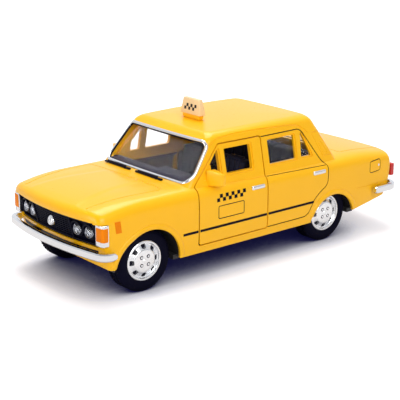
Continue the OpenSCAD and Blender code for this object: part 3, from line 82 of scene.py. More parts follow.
# Doors and windows: (Y, Z) outlines on the sides, (X, Z) outlines of the screens
DOOR_FRONT, DOOR_REAR, DOOR_LOW, DOOR_KINK, DOOR_TOP = -21.0, 2.6, 9.3, 24.6, 34.0
DOOR_R, WINDOW_R, STEP_R, SCREEN_R = 0.5, 0.35, 0.6, 1.6
DOOR = [
    (DOOR_FRONT, DOOR_LOW), (DOOR_REAR, DOOR_LOW), (DOOR_REAR, DOOR_TOP), (-11.788, DOOR_TOP),
    (DOOR_FRONT, DOOR_KINK),
]
DOOR_MAIN = [(-9.9, 26.1), (-1.0, 26.1), (-1.0, 32.6), (-9.9, 32.6)]
DOOR_QUARTER = [(-17.8, 26.1), (-12.0, 26.1), (-12.0, 32.6), (-12.35, 32.6)]
REAR_MAIN = [(5.3, 26.1), (15.1, 26.1), (15.1, 32.6), (5.3, 32.6)]
REAR_QUARTER = [(17.2, 26.1), (21.1, 26.1), (18.15, 32.6), (17.8, 32.6)]
WINDSCREEN = [(-18.04, 25.7), (18.04, 25.7), (16.12, 34.8), (-16.12, 34.8)]
BACKLIGHT = [(-16.18, 26.5), (16.18, 26.5), (14.66, 33.7), (-14.66, 33.7)]

# Each screen: its outline, the way it is seen, and the stretch of Y that it lies in
SCREENS = (
    (WINDSCREEN, "front", (SCREEN_Y - 1, SCREEN_Y + CABIN_H)),
    (BACKLIGHT, "rear", (BACK_Y - CABIN_H, BACK_Y + 1)),
)

# Panel lines: (Y, Z) on the sides, (X, Y) from above
REAR_DOOR = [
    (2.95, 33.9), (17.0, 33.9), (18.2, 33.2), (24.3, 24.3), (26.1, 22.7), (25.7, 17.6), (24.7, 16.6),
    (22.9, 15.6), (20.7, 13.9), (19.4, 11.8), (18.6, 10.2), (17.1, 9.35), (2.95, 9.3),
]
GUTTER = [(-14.5, 34.2), (-12.2, 35.55), (-6, 36.05), (3, 35.95), (14, 35.45), (17.6, 34.7), (20.5, 32.4)]
BONNET = [(14.1, -51.6), (15.2, -42), (16.3, -29.6), (-16.3, -29.6), (-15.2, -42), (-14.1, -51.6)]
BOOT = [(15.2, 52.6), (15.6, 35.2), (-15.6, 35.2), (-15.2, 52.6)]
VENTS = [
    [(21.9, 32.2), (24.6, 32.2), (28.9, 25.3), (25.4, 25.1)],
    [(24.1, 29.1), (25.2, 29.2), (27.4, 25.9), (25.7, 25.8)],
]
FLAP = [(43.3, 17.3), (47.7, 17.6), (47.9, 21.0), (43.3, 20.6)]

# Wheels, and the circles of (Y, Z, radius) that cut their arches
FRONT_AXLE, REAR_AXLE, AXLE_Z = -37.5, 26.7, 8.25
WHEEL_OUT, TYRE_W, TYRE_R = 19.1, 5.8, 8.25
WHEEL_IN = WHEEL_OUT - TYRE_W
ARCHES = [(-36.5, 7.4, 9.5), (-38.2, 7.0, 9.0), (28.4, 5.1, 8.9)]
REAR_TYRE_ROOM = (REAR_AXLE, AXLE_Z, 8.8)
SLOT = [(-0.6, 3.2), (0.6, 3.2), (0.74, 4.34), (-0.74, 4.34)]
SLOT_DEPTH, NUT_AT = 1.6, 1.06

# What the body carries
HINGE_X, HINGE_Y, LUG_Z, LUG_H = 18.4, -24.0, (10.6, 17.8), 1.6
BUMPER_Z = {"front": 12.7, "rear": 12.3}
BUMPER_HALF, BUMPER_R, BUMPER_T = 21.8, 3.0, 1.5
GRILLE_Z, LAMP_Z, HEADLAMPS = 17.5, 17.7, (-14.6, -10.3, 10.3, 14.6)
CORNER_Z, CORNER_X, CORNER_L, CORNER_H = 17.75, 17.75, 2.2, 2.75
TAIL_LAMP_X, TAIL_LAMP_Z, LAMP_GAP = (13.7, 19.1), (14.9, 18.3), 0.08
SIGN_Y, SIGN_LOW, SIGN_HIGH = -6.4, 38.6, 42.9
SIGN_FOOT, SIGN_TOP = (4.2, 1.15), (3.32, 0.63)  # half its width and half its depth
STRIPE_Z, HANDLE_LOW, HANDLE_HIGH = 13.1, 20.7, 21.9
CHECKER_AT, CHECKER_ROWS, CHECKER_COLUMNS = (-15.2, 19.8), 2, 10
WIPERS_X, WIPER_Y = (4.8, -9.2), -25.35
MIRROR_FOOT = [(-17.1, 23.9), (-14.0, 24.1), (-14.0, 28.2), (-17.1, 28.4)]
MIRROR_TIP = [(-15.3, 24.4), (-14.0, 24.5), (-14.0, 27.4), (-15.3, 27.7)]
MIRROR_SAIL = [(-18.6, 25.6), (-15.0, 25.6), (-15.0, 29.2), (-15.6, 29.2)]
MIRROR_IN, MIRROR_OUT, MIRROR_BACK = 18.4, 22.85, -14.0
MIRROR_AHEAD = {"left": 0.0, "right": 2.0}
SEAT_X, SEAT_LEAN, BENCH_LEAN = 8.2, 2.2 / 11.5, 1.6 / 8

# Each finish: the colour it takes, its slot in the record, its roughness, and what else it sets
FINISHES = {
    "paint": ("paint", "yellow_paint", 0.3, dict(coat=0.1, shine=0.3, vary=0.04, grain=1500, bump=0.05)),
    "cream": ("cream", "sign_cream", 0.4, dict(vary=0.06, bump=0.06)),
    "black": ("black", "grille_black", 0.4, dict(shine=0.08, vary=0.3, grain=2500, bump=0.12)),
    "bars": ("bars", "grille_black", 0.4, dict(shine=0.06, vary=0.2, grain=2500, bump=0.1)),
    "rubber": ("rubber", "tyre_rubber", 0.7, dict(shine=0.06, vary=0.35, grain=2200, bump=0.25)),
    "bright": ("bright", "bright_trim", 0.12, dict(metallic=1.0, vary=0.04, grain=700, bump=0.02)),
    "silver": ("silver", "wheel_silver", 0.25, dict(metallic=0.8, vary=0.06, grain=1800, bump=0.02)),
    "amber": ("amber", "amber_lens", 0.3, dict(shine=0.1, vary=0.15, grain=1600, bump=0.2)),
    "red": ("red", "red_lens", 0.18, dict(coat=0.2, vary=0.2, grain=1600, bump=0.2)),
    "navy": ("navy", "interior_navy", 0.55, dict(shine=0.15, vary=0.25, grain=3200, bump=0.3)),
    "dash": ("dash", "dash_grey", 0.5, dict(shine=0.25, vary=0.2, grain=3000, bump=0.25)),
    # Painted shade: the linings take the dark brown of the yellow paint in shade.
    "card": ("card", "interior_navy", 0.6, dict(shine=0.15, vary=0.2, grain=2800, bump=0.2)),
    "bowl": ("bowl", "bright_trim", 0.28, dict(metallic=1.0, vary=0.2, grain=1500, bump=0.1)),
    "pane": ("pane", "clear_pane", 0.03, dict(vary=0.02, transmission=1.0, alpha=0.09, grain=300)),
    "lens": (
        "pane", "lamp_glass", 0.08, dict(vary=0.05, transmission=0.9, alpha=0.4, grain=2200, bump=0.3),
    ),
    "steel": (
        "steel", "pin_steel", 0.3, dict(metallic=1.0, vary=0.1, grain=2500, bump=0.08, stretch=(0.1, 1, 1)),
    ),
    "nylon": ("nylon", "gear_nylon", 0.45, dict(vary=0.08, grain=1500, bump=0.08)),
    "base": ("base", "base_black", 0.55, dict(vary=0.25, grain=2600, bump=0.25)),
}

# The floor's colour and glow in its painted shadow beside the car and in the open, and the sky as seen and as
# light
FLOOR_SHADED, FLOOR_OPEN = (0.03, 0.03, 0.11), (0.66, 0.66, 0.68)
GLOW_SHADED, GLOW_OPEN = (0.003, 0.003, 0.022), (0.9, 0.92, 1.0)
SKY_SEEN, SKY_LIGHT = (0.94, 0.96, 1.0), (1.0, 0.84, 0.6)

# The camera, and each light: place, target, size, power and colour, in metres and watts
CAMERA_AT, CAMERA_WAY = (0.24368, -0.20416, 0.10881), (-0.7395, 0.6077, -0.2894)
CAMERA_LENS, CAMERA_SENSOR = 105.69, 36
LIGHTS = {
    "key": ((-0.13, 0.1, 0.51), (0, 0, 0.0), 0.36, 2.6, (1.0, 0.97, 0.93)),
    "fill": ((0.5, -0.16, 0.3), (0, 0, 0.02), 0.4, 2.2, (1.0, 0.98, 0.95)),
    "nose": ((-0.06, -0.55, 0.13), (0, -0.02, 0.012), 0.3, 1.1, (1.0, 0.98, 0.95)),
}


def mix(a, b, t):
    """A value part of the way from a to b."""
    return a + (b - a) * t


def ramp(a, b, v):
    """A smooth step from 0 at a to 1 at b."""
    t = np.clip((v - a) / (b - a), 0, 1)
    return t * t * (3 - 2 * t)


def front_y(x, z):
    """Where the face of the nose lies."""
    return NOSE_Y + NOSE_LEAN * (LIP_Z - z) + NOSE_BOW * (x / HALF_W) ** 2


def rear_y(x, z):
    """Where the face of the tail lies."""
    tuck = np.maximum(0, TAIL_TUCK_Z - z) / (TAIL_TUCK_Z - SILL_Z)
    return TAIL_Y - TAIL_BOW * (x / HALF_W) ** 2 - TAIL_TUCK * tuck**2


def body_half(y):
    """Half the body's width at a place along the car."""
    return HALF_W - PLAN_TAPER * (abs(y) / HALF_L) ** PLAN_POWER


def body_top(y):
    """The height of the bonnet, the waist and the boot along the car."""
    return (
        DECK_Z
        - WAIST_FALL * np.clip((y - DOOR_FRONT) / (BACK_Y - DOOR_FRONT), 0, 1)
        - NOSE_DROP * (np.maximum(0, NOSE_Y + NOSE_FALL - y) / NOSE_FALL) ** 2
        - TAIL_DROP * (np.maximum(0, y - TAIL_Y + TAIL_FALL) / TAIL_FALL) ** 2
    )


def body_bottom(y):
    """The height of the body's lower edge along the car."""
    return (
        SILL_Z
        + FRONT_RISE * np.clip((FRONT_AXLE - y) / FRONT_RISE_L, 0, 1)
        + REAR_RISE * np.clip((y - TAIL_Y + REAR_RISE_L) / REAR_RISE_L, 0, 1)
    )


def round_in(d, r):
    """How far a rounded edge lies in at a distance from its end."""
    return r - math.sqrt(max(0.0, r * r - (r - d) ** 2)) if d < r else 0.0


def resample(points, count):
    """The polyline's points spread evenly along its length."""
    p = np.asarray(points, float)
    d = np.r_[0, np.cumsum(np.linalg.norm(np.diff(p, axis=0), axis=1))]
    s = np.linspace(0, d[-1], count)
    return np.column_stack([np.interp(s, d, p[:, i]) for i in range(p.shape[1])])


def body_section(w, top, low, upper_n, side_n):
    """A closed section of (X, Z): a squared arch above the crease, and sides that tuck in below it."""
    a = np.radians(np.linspace(0, 180, 721))
    power = 2 / SECTION_POWER
    upper = np.column_stack(
        [
            w * np.sign(np.cos(a)) * np.abs(np.cos(a)) ** power,
            CREASE_Z + (top - CREASE_Z) * np.clip(np.sin(a), 0, 1) ** power,
        ]
    )
    f = np.linspace(0, 1, side_n + 1)[1:]
    side = np.column_stack([w - SILL_TUCK * f * f, mix(CREASE_Z, low, f)])
    return np.vstack([resample(upper, upper_n), side * (-1, 1), side[::-1]])


def bonnet_rise(x, y, share):
    """How far the bonnet's pressed middle stands above the plain form."""
    ridge = np.interp(y, [-51, -40, -30], [10.6, 8.4, 7.2])
    along = ramp(-53.6, -50.5, y) * (1 - ramp(-31.5, -29.3, y))
    middle = 0.2 * ramp(-1.1, 1.1, ridge - np.abs(x))
    valley = -0.1 * np.exp(-(((np.abs(x) - 14.2) / 1.9) ** 2)) * (1 - ramp(-29.5, -26, y))
    return (middle * along + valley * ramp(-53.9, -51, y)) * ramp(0.8, 0.95, share)


def body_rings(off=0, front=0, rear=0, drop=0, stations=70, upper_n=70, side_n=10, pressed=False):
    """Closed rings of the lower body from the nose to the tail, with graded rings over both ends."""
    rings = []
    for t in (1 - np.cos(np.linspace(0, math.pi, stations))) / 2:
        y = mix(NOSE_Y, TAIL_Y, t)
        roll = round_in(y - NOSE_Y, NOSE_ROUND) + round_in(TAIL_Y - y, TAIL_ROUND)
        top = body_top(y) - off - roll
        section = body_section(
            body_half(y) - off - SIDE_ROUND * roll,
            top,
            body_bottom(y) + BOTTOM_ROUND * roll - drop,
            upper_n,
            side_n,
        )
        shares = (0.02, 0.25, 0.45, 0.62, 0.76, 0.87, 0.95, 1) if t in (0, 1) else (1,)
        middle = np.array([0, (section[:, 1].max() + section[:, 1].min()) / 2])
        for k in shares[:: -1 if t == 1 else 1]:
            x, z = (middle + (section - middle) * k).T
            y_at = mix(front_y(x, z) + front, rear_y(x, z) - rear, t)
            if pressed:
                z = z + bonnet_rise(x, y_at, (z - CREASE_Z) / (top - CREASE_Z))
            rings.append(np.column_stack([x, y_at, z]))
    return rings


def cabin_ring(z, in_side, in_front, in_back, off, corner_n, side_n, end_n):
    """A closed ring round the cabin at a height, moved in at the sides, the front and the back."""
    h = z - DECK_Z
    w = CABIN_HALF_W - h * CABIN_LEAN - in_side - off
    y0 = SCREEN_Y + h * SCREEN_RAKE + in_front + off * (1 + SCREEN_RAKE / 2)
    y1 = BACK_Y - h * BACK_RAKE - in_back - off * (1 + BACK_RAKE / 2)
    r = min(max(PILLAR_R - off, PILLAR_R / 2), w / 2)
    a = np.radians(np.linspace(0, 90, corner_n))
    s, c = np.sin(a), np.cos(a)
    side = np.linspace(y0 + r, y1 - r, side_n)[1:-1]
    end = np.linspace(w - r, r - w, end_n)[1:-1]
    x = np.r_[
        w - r + r * s, np.full(len(side), w), w - r + r * c, end,
        r - w - r * s, np.full(len(side), -w), r - w - r * c, end[::-1],
    ]
    y = np.r_[
        y0 + r - r * c, side, y1 - r + r * s, np.full(len(end), y1),
        y1 - r + r * c, side[::-1], y0 + r - r * s, np.full(len(end), y0),
    ]
    t = (y - y0) / (y1 - y0)
    y = y + (x / w) ** 2 * (SCREEN_BOW * (1 - t) ** 2 - BACK_BOW * t * t)
    x = x * (1 - SIDE_BOW / w * (2 * t - 1) ** 2)
    fall = ROOF_FALL * ((y - SCREEN_Y - ROOF_PEAK) / ROOF_FALL_L) ** 2
    return np.column_stack([x, y, z - fall * np.clip(h / CABIN_H, 0, 1) ** 2])


def cabin_rings(off=0, corner_n=7, side_n=30, end_n=22, wall_n=8, edge_n=10, crown_n=9):
    """Closed rings of the cabin from inside the body up over the roof, moved in by off."""
    n = (off, corner_n, side_n, end_n)
    heights = np.linspace(DECK_Z - CABIN_FOOT, EDGE_Z - off, wall_n)[:-1]
    rings = [cabin_ring(z, 0, 0, 0, *n) for z in heights]
    for a in np.radians(np.linspace(0, 90, edge_n)):
        s = 1 - math.cos(a)
        rings.append(cabin_ring(EDGE_Z + EDGE_H * math.sin(a) - off, *(v * s for v in ROOF_IN), *n))
    z = EDGE_Z + EDGE_H
    h = z - DECK_Z
    w = CABIN_HALF_W - h * CABIN_LEAN - ROOF_IN[0] - off
    length = (BACK_Y - SCREEN_Y - h * (SCREEN_RAKE + BACK_RAKE) - ROOF_IN[1] - ROOF_IN[2]) / 2 - 2 * off
    for k in np.linspace(0, 1, crown_n)[1:]:
        reach = 0.88 * k
        rings.append(
            cabin_ring(
                z + CROWN * (1 - (1 - k) ** 2) - off,
                ROOF_IN[0] + w * reach,
                ROOF_IN[1] + length * reach,
                ROOF_IN[2] + length * reach,
                *n,
            )
        )
    return rings


@contextmanager
def edited(mesh):
    """Opens a mesh for bmesh work and writes the result back."""
    shape = bmesh.new()
    shape.from_mesh(mesh)
    yield shape
    shape.to_mesh(mesh)
    shape.free()


def linked(name, data):
    """A new object in the scene."""
    obj = bpy.data.objects.new(name, data)
    bpy.context.scene.collection.objects.link(obj)
    return obj


def mesh_object(name, verts, faces):
    """A linked object in millimetres whose faces point outwards."""
    mesh = bpy.data.meshes.new(name)
    mesh.from_pydata([tuple(v) for v in verts], [], [tuple(int(i) for i in f) for f in faces])
    with edited(mesh) as shape:
        bmesh.ops.recalc_face_normals(shape, faces=shape.faces)
    return linked(name, mesh)


def loft(name, rings, loop=False):
    """Rings of points joined in order, with both ends capped or the last joined to the first."""
    rings = np.asarray(rings, float)
    m, n = rings.shape[:2]
    faces = []
    for i in range(m if loop else m - 1):
        a, b = i * n, (i + 1) % m * n
        faces += [(a + j, a + (j + 1) % n, b + (j + 1) % n, b + j) for j in range(n)]
    if not loop:
        faces += [range(n), range((m - 1) * n, m * n)]
    return mesh_object(name, rings.reshape(-1, 3), faces)


def fillet(points, r, steps=6):
    """A closed outline with its corners rounded."""
    p = [np.asarray(q, float) for q in points]
    out = []
    for i, b in enumerate(p):
        u, v = p[i - 1] - b, p[(i + 1) % len(p)] - b
        lu, lv = np.linalg.norm(u), np.linalg.norm(v)
        u, v = u / lu, v / lv
        half = math.acos(max(-1, min(1, float(u @ v)))) / 2
        if half > 1.55:
            out.append(b)
            continue
        d = min(r / math.tan(half), 0.48 * lu, 0.48 * lv)
        middle = b + (u + v) / np.linalg.norm(u + v) * d / math.cos(half)
        s, e = b + u * d - middle, b + v * d - middle
        a0, a1 = math.atan2(s[1], s[0]), math.atan2(e[1], e[0])
        turn = (a1 - a0 + math.pi) % (2 * math.pi) - math.pi
        radius = np.linalg.norm(s)
        for k in range(steps + 1):
            a = a0 + turn * k / steps
            out.append(middle + radius * np.array([math.cos(a), math.sin(a)]))
    return np.array(out)


def fillet_open(points, r):
    """An open line with its inner corners rounded."""
    p = np.asarray(points, float)
    out = [p[0]]
    for a, b, c in zip(p, p[1:], p[2:]):
        u, v = a - b, c - b
        du, dv = np.linalg.norm(u), np.linalg.norm(v)
        d = min(r, 0.45 * du, 0.45 * dv)
        s, e = b + u / du * d, b + v / dv * d
        for t in np.linspace(0, 1, 6):
            out.append((1 - t) ** 2 * s + 2 * t * (1 - t) * b + t * t * e)
    out.append(p[-1])
    return np.array(out)


def grow(points, d):
    """A convex outline moved out by d."""
    p = np.asarray(points, float)
    area = np.sum(p[:, 0] * np.roll(p[:, 1], -1) - np.roll(p[:, 0], -1) * p[:, 1])
    q = []
    for i in range(len(p)):
        u = p[i] - p[i - 1]
        v = p[(i + 1) % len(p)] - p[i]
        u, v = u / np.linalg.norm(u), v / np.linalg.norm(v)
        m, n = np.array([u[1], -u[0]]), np.array([v[1], -v[0]])
        q.append(p[i] + d * math.copysign(1, area) * (m + n) / (1 + m @ n))
    return np.array(q)


AXES = {"x": (1, 2, 0), "y": (0, 2, 1), "z": (0, 1, 2)}


def prism(name, outline, axis, low, high):
    """An outline in the two other axes drawn along one axis."""
    u, v, w = AXES[axis]
    rings = np.zeros((2, len(outline), 3))
    rings[:, :, u], rings[:, :, v] = np.asarray(outline).T[0], np.asarray(outline).T[1]
    rings[0, :, w], rings[1, :, w] = low, high
    return loft(name, rings)


def circle(x, y, r, n=48):
    """A round outline."""
    a = np.linspace(0, 2 * math.pi, n, endpoint=False)
    return np.column_stack([x + r * np.cos(a), y + r * np.sin(a)])


def box(name, low, high, r=0.0, steps=3):
    """A box with rounded edges."""
    (x0, y0, z0), (x1, y1, z1) = low, high
    obj = prism(name, [(x0, y0), (x1, y0), (x1, y1), (x0, y1)], "z", z0, z1)
    if r:
        bevel(obj, r, steps)
    return obj


def bevel(obj, r, steps=3):
    """Rounds an object's sharp edges."""
    with edited(obj.data) as shape:
        edges = [e for e in shape.edges if e.calc_face_angle(0) > BEVEL_FROM]
        bmesh.ops.bevel(
            shape, geom=edges, offset=r, segments=steps, profile=0.5, affect="EDGES", clamp_overlap=True
        )
    return obj


def spin(name, profile, n, x=0.0):
    """A profile of (radius, along) turned about the X axis, with its own start at x."""
    p = np.asarray(profile, float)
    turns = np.linspace(0, 2 * math.pi, n, endpoint=False)
    rings = [np.column_stack([x + p[:, 1], p[:, 0] * math.cos(a), p[:, 0] * math.sin(a)]) for a in turns]
    k = len(p)
    faces = []
    for i in range(n):
        b = (i + 1) % n
        faces += [(i * k + j, i * k + j + 1, b * k + j + 1, b * k + j) for j in range(k - 1)]
    obj = mesh_object(name, np.vstack(rings), faces)
    with edited(obj.data) as shape:
        bmesh.ops.remove_doubles(shape, verts=shape.verts, dist=1e-4)
        bmesh.ops.holes_fill(shape, edges=shape.edges)
        bmesh.ops.recalc_face_normals(shape, faces=shape.faces)
    return obj


def sweep(name, points, normals, profile, loop=False):
    """A profile of (side, lift) offsets drawn along points on a surface with these normals."""
    p, n = np.asarray(points, float), np.asarray(normals, float)
    if loop:
        t = np.roll(p, -1, 0) - np.roll(p, 1, 0)
    else:
        t = np.gradient(p, axis=0)
    t /= np.linalg.norm(t, axis=1)[:, None]
    n = n - t * np.sum(n * t, 1)[:, None]
    n /= np.linalg.norm(n, axis=1)[:, None]
    s = np.cross(t, n)
    profile = np.asarray(profile, float)
    rings = p[:, None] + s[:, None] * profile[None, :, :1] + n[:, None] * profile[None, :, 1:]
    return loft(name, rings, loop)


def bead(half, high, sink=0.25, n=9):
    """A low dome's profile, sunk a little into the surface that it lies on."""
    a = np.linspace(0, math.pi, n)
    arc = np.column_stack([half * np.cos(a), high * np.sin(a)])
    return np.vstack([arc, [(-half, -sink), (half, -sink)]])


def wire(r, n=8):
    """A round profile."""
    a = np.linspace(0, 2 * math.pi, n, endpoint=False)
    return np.column_stack([r * np.cos(a), r * np.sin(a)])


def seam(r):
    """Painted shade: a dark thread that fills the floor of a groove, standing in for the shade down in it."""
    return wire(r * 0.68) - (0, r * 0.72)


def combine(base, tools, operation="DIFFERENCE"):
    """Cuts the tools from the base, joins them to it or keeps what they share, and drops the tools."""
    for tool in tools:
        change = base.modifiers.new("change", "BOOLEAN")
        change.operation = operation
        change.solver = "MANIFOLD"
        change.object = tool
    bake(base)
    for tool in tools:
        drop(tool)
    return base


def bake(obj):
    """Replaces the mesh by what its modifiers make, and removes them."""
    bpy.context.view_layer.update()
    shape = obj.evaluated_get(bpy.context.evaluated_depsgraph_get())
    mesh = bpy.data.meshes.new_from_object(shape)
    obj.modifiers.clear()
    old = obj.data
    obj.data = mesh
    bpy.data.meshes.remove(old)
    if not len(mesh.polygons):
        raise RuntimeError(f"{obj.name} came out empty")
    return obj


def drop(obj):
    """Removes an object, and its mesh if nothing else uses it."""
    mesh = obj.data
    bpy.data.objects.remove(obj)
    if not mesh.users:
        bpy.data.meshes.remove(mesh)


def copy_of(obj, name):
    """A new object with a copy of the mesh."""
    return linked(name, obj.data.copy())


def flip(obj):
    """Puts a piece on the car's other side."""
    obj.data.transform(Matrix.Diagonal((-1, 1, 1, 1)))
    obj.data.flip_normals()
    return obj


def mirrored(obj):
    """A copy on the car's other side."""
    return flip(copy_of(obj, "twin"))


def both_sides(obj):
    """A left piece's mirrored copy and the piece itself, each with its side."""
    return ("right", mirrored(obj)), ("left", obj)


def span(side, a, b):
    """Two distances from the car's middle as a rising pair of X on one side, -1 or 1."""
    return sorted((side * a, side * b))


def join(name, parts):
    """One object with the meshes of several."""
    shape = bmesh.new()
    for part in parts:
        shape.from_mesh(part.data)
    mesh = bpy.data.meshes.new(name)
    shape.to_mesh(mesh)
    shape.free()
    for part in parts:
        drop(part)
    return linked(name, mesh)


def reshape(obj, change):
    """Moves an object's points: change gets them as rows of (x, y, z) and alters them in place."""
    co = np.empty(len(obj.data.vertices) * 3)
    obj.data.vertices.foreach_get("co", co)
    change(co.reshape(-1, 3))
    obj.data.vertices.foreach_set("co", co)
    obj.data.update()
    return obj


def finish_piece(shape, name, kind, body="body", nodes=(), slot=None, angle=SHARP):
    """Turns a millimetre mesh, or several as one, into a finished piece that rides on a body of the frame."""
    obj = join(name, shape) if isinstance(shape, list) else shape
    obj.name = obj.data.name = name
    obj.data.transform(Matrix.Scale(MM, 4))
    obj.data.materials.clear()
    obj.data.materials.append(finish(kind))
    for face in obj.data.polygons:
        face.material_index = 0
    obj.data.shade_smooth()
    obj.data.set_sharp_from_angle(angle=angle)
    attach(obj, body)
    if nodes:
        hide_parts(*nodes)
    slot or FINISHES[kind][1]


def even_path(path, loop, step, spare=2):
    """A path's points a step apart or closer; a loop's first point isn't repeated at its end."""
    path = np.asarray(path, float)
    if loop:
        path = np.vstack([path, path[:1]])
    length = np.sum(np.linalg.norm(np.diff(path, axis=0), axis=1))
    even = resample(path, max(3, int(length / step) + spare))
    return even[:-1] if loop else even


class Skin:
    """The car's outer form, to lay lines and patches on."""

    WAYS = {
        "left": (Vector((80, 0, 0)), Vector((-1, 0, 0)), (1, 2)),
        "right": (Vector((-80, 0, 0)), Vector((1, 0, 0)), (1, 2)),
        "top": (Vector((0, 0, 90)), Vector((0, 0, -1)), (0, 1)),
        "front": (Vector((0, -120, 0)), Vector((0, 1, 0)), (0, 2)),
        "rear": (Vector((0, 120, 0)), Vector((0, -1, 0)), (0, 2)),
    }

    def __init__(self, obj):
        shape = bmesh.new()
        shape.from_mesh(obj.data)
        self.tree = BVHTree.FromBMesh(shape)
        shape.free()

    def lay(self, path, way):
        """The points of a flat path seen from one way, laid on the form, and the form's normals there."""
        start, along, axes = self.WAYS[way]
        points, normals = [], []
        for p in path:
            origin = start.copy()
            origin[axes[0]], origin[axes[1]] = p
            hit, normal, _, _ = self.tree.ray_cast(origin, along)
            if hit is None:
                raise RuntimeError(f"no surface at {tuple(p)} from the {way}")
            points.append(hit)
            normals.append(normal)
        return np.array(points), np.array(normals)

    def line(self, name, path, way, profile, loop=False, step=0.6):
        """A profile drawn along a flat path on the form."""
        points, normals = self.lay(even_path(path, loop, step), way)
        return sweep(name, points, normals, profile, loop)

    def patch(self, name, low, high, way, lift, sink=0.15, step=0.5, shear=0.0):
        """A thin plate over a rectangle, lying on the form."""
        nu = max(2, int((high[0] - low[0]) / step) + 2)
        nv = max(2, int((high[1] - low[1]) / step) + 2)
        grid = [
            (u + shear * (v - low[1]), v)
            for v in np.linspace(low[1], high[1], nv)
            for u in np.linspace(low[0], high[0], nu)
        ]
        points, normals = self.lay(grid, way)
        verts = np.vstack([points + normals * lift, points - normals * sink])
        n = nu * nv
        faces = []
        for j in range(nv - 1):
            for i in range(nu - 1):
                a = j * nu + i
                faces += [(a, a + 1, a + nu + 1, a + nu), (n + a, n + a + nu, n + a + nu + 1, n + a + 1)]
        rim = list(range(nu)) + [j * nu + nu - 1 for j in range(1, nv)]
        rim += [(nv - 1) * nu + i for i in range(nu - 2, -1, -1)] + [j * nu for j in range(nv - 2, 0, -1)]
        faces += [(a, n + a, n + b, b) for a, b in zip(rim, rim[1:] + rim[:1])]
        return mesh_object(name, verts, faces)


def copies_tree():
    """A node tree that repeats its geometry by a step and a turn about the X axis."""
    tree = bpy.data.node_groups.new("Taxi copies", "GeometryNodeTree")
    kinds = {
        "Geometry": "Geometry", "Count": "Int", "Step": "Vector", "Turn": "Float", "Material": "Material",
    }
    for name, kind in kinds.items():
        tree.interface.new_socket(name, in_out="INPUT", socket_type=f"NodeSocket{kind}")
    tree.interface.new_socket("Geometry", in_out="OUTPUT", socket_type="NodeSocketGeometry")
    new, link = tree.nodes.new, tree.links.new
    given, result = new("NodeGroupInput"), new("NodeGroupOutput")
    points, index = new("GeometryNodePoints"), new("GeometryNodeInputIndex")
    shift, angle, turn = new("ShaderNodeVectorMath"), new("ShaderNodeMath"), new("ShaderNodeCombineXYZ")
    shift.operation, angle.operation = "SCALE", "MULTIPLY"
    place, real = new("GeometryNodeInstanceOnPoints"), new("GeometryNodeRealizeInstances")
    paint = new("GeometryNodeSetMaterial")
    link(given.outputs["Count"], points.inputs["Count"])
    link(given.outputs["Step"], shift.inputs[0])
    link(index.outputs[0], shift.inputs["Scale"])
    link(shift.outputs[0], points.inputs["Position"])
    link(index.outputs[0], angle.inputs[0])
    link(given.outputs["Turn"], angle.inputs[1])
    link(angle.outputs[0], turn.inputs["X"])
    link(points.outputs[0], place.inputs["Points"])
    link(given.outputs["Geometry"], place.inputs["Instance"])
    link(turn.outputs[0], place.inputs["Rotation"])
    link(place.outputs[0], real.inputs[0])
    link(real.outputs[0], paint.inputs["Geometry"])
    link(given.outputs["Material"], paint.inputs["Material"])
    link(paint.outputs[0], result.inputs[0])
    spread_out(tree)
    return tree


def spread_out(tree):
    """Sets a tree's nodes apart, so that they can be read in the editor."""
    for i, node in enumerate(tree.nodes):
        node.location = (240 * (i % 5), -260 * (i // 5))


def repeat(obj, kind, count, step=(0, 0, 0), turn=0.0):
    """Copies an object's mesh along a line or about the X axis with the node tree."""
    tree = bpy.data.node_groups.get("Taxi copies") or copies_tree()
    nodes = obj.modifiers.new("copies", "NODES")
    nodes.node_group = tree
    values = {"Count": count, "Step": step, "Turn": turn, "Material": finish(kind)}
    for item in tree.interface.items_tree:
        if item.in_out == "INPUT" and item.name in values:
            nodes[item.identifier] = values[item.name]
    return bake(obj)


def around(obj, kind, count):
    """Copies an object's mesh evenly round the X axis."""
    return repeat(obj, kind, count, turn=2 * math.pi / count)


def maths(tree, operation, a, b):
    """A maths node on two values, each a socket or a number."""
    node = tree.nodes.new("ShaderNodeMath")
    node.operation = operation
    for socket, value in zip(node.inputs, (a, b)):
        if isinstance(value, float):
            socket.default_value = value
        else:
            tree.links.new(value, socket)
    return node.outputs[0]


def scaled(tree, value, given, wanted):
    """A node that maps a value from one range to another."""
    node = tree.nodes.new("ShaderNodeMapRange")
    for name, number in zip(("From Min", "From Max", "To Min", "To Max"), (*given, *wanted)):
        node.inputs[name].default_value = number
    tree.links.new(value, node.inputs["Value"])
    return node.outputs[0]


def between(tree, a, b, factor):
    """A node that mixes two colours by a factor."""
    node = tree.nodes.new("ShaderNodeMix")
    node.data_type = "RGBA"
    node.inputs["A"].default_value = (*a, 1)
    node.inputs["B"].default_value = (*b, 1)
    tree.links.new(factor, node.inputs["Factor"])
    return node.outputs["Result"]


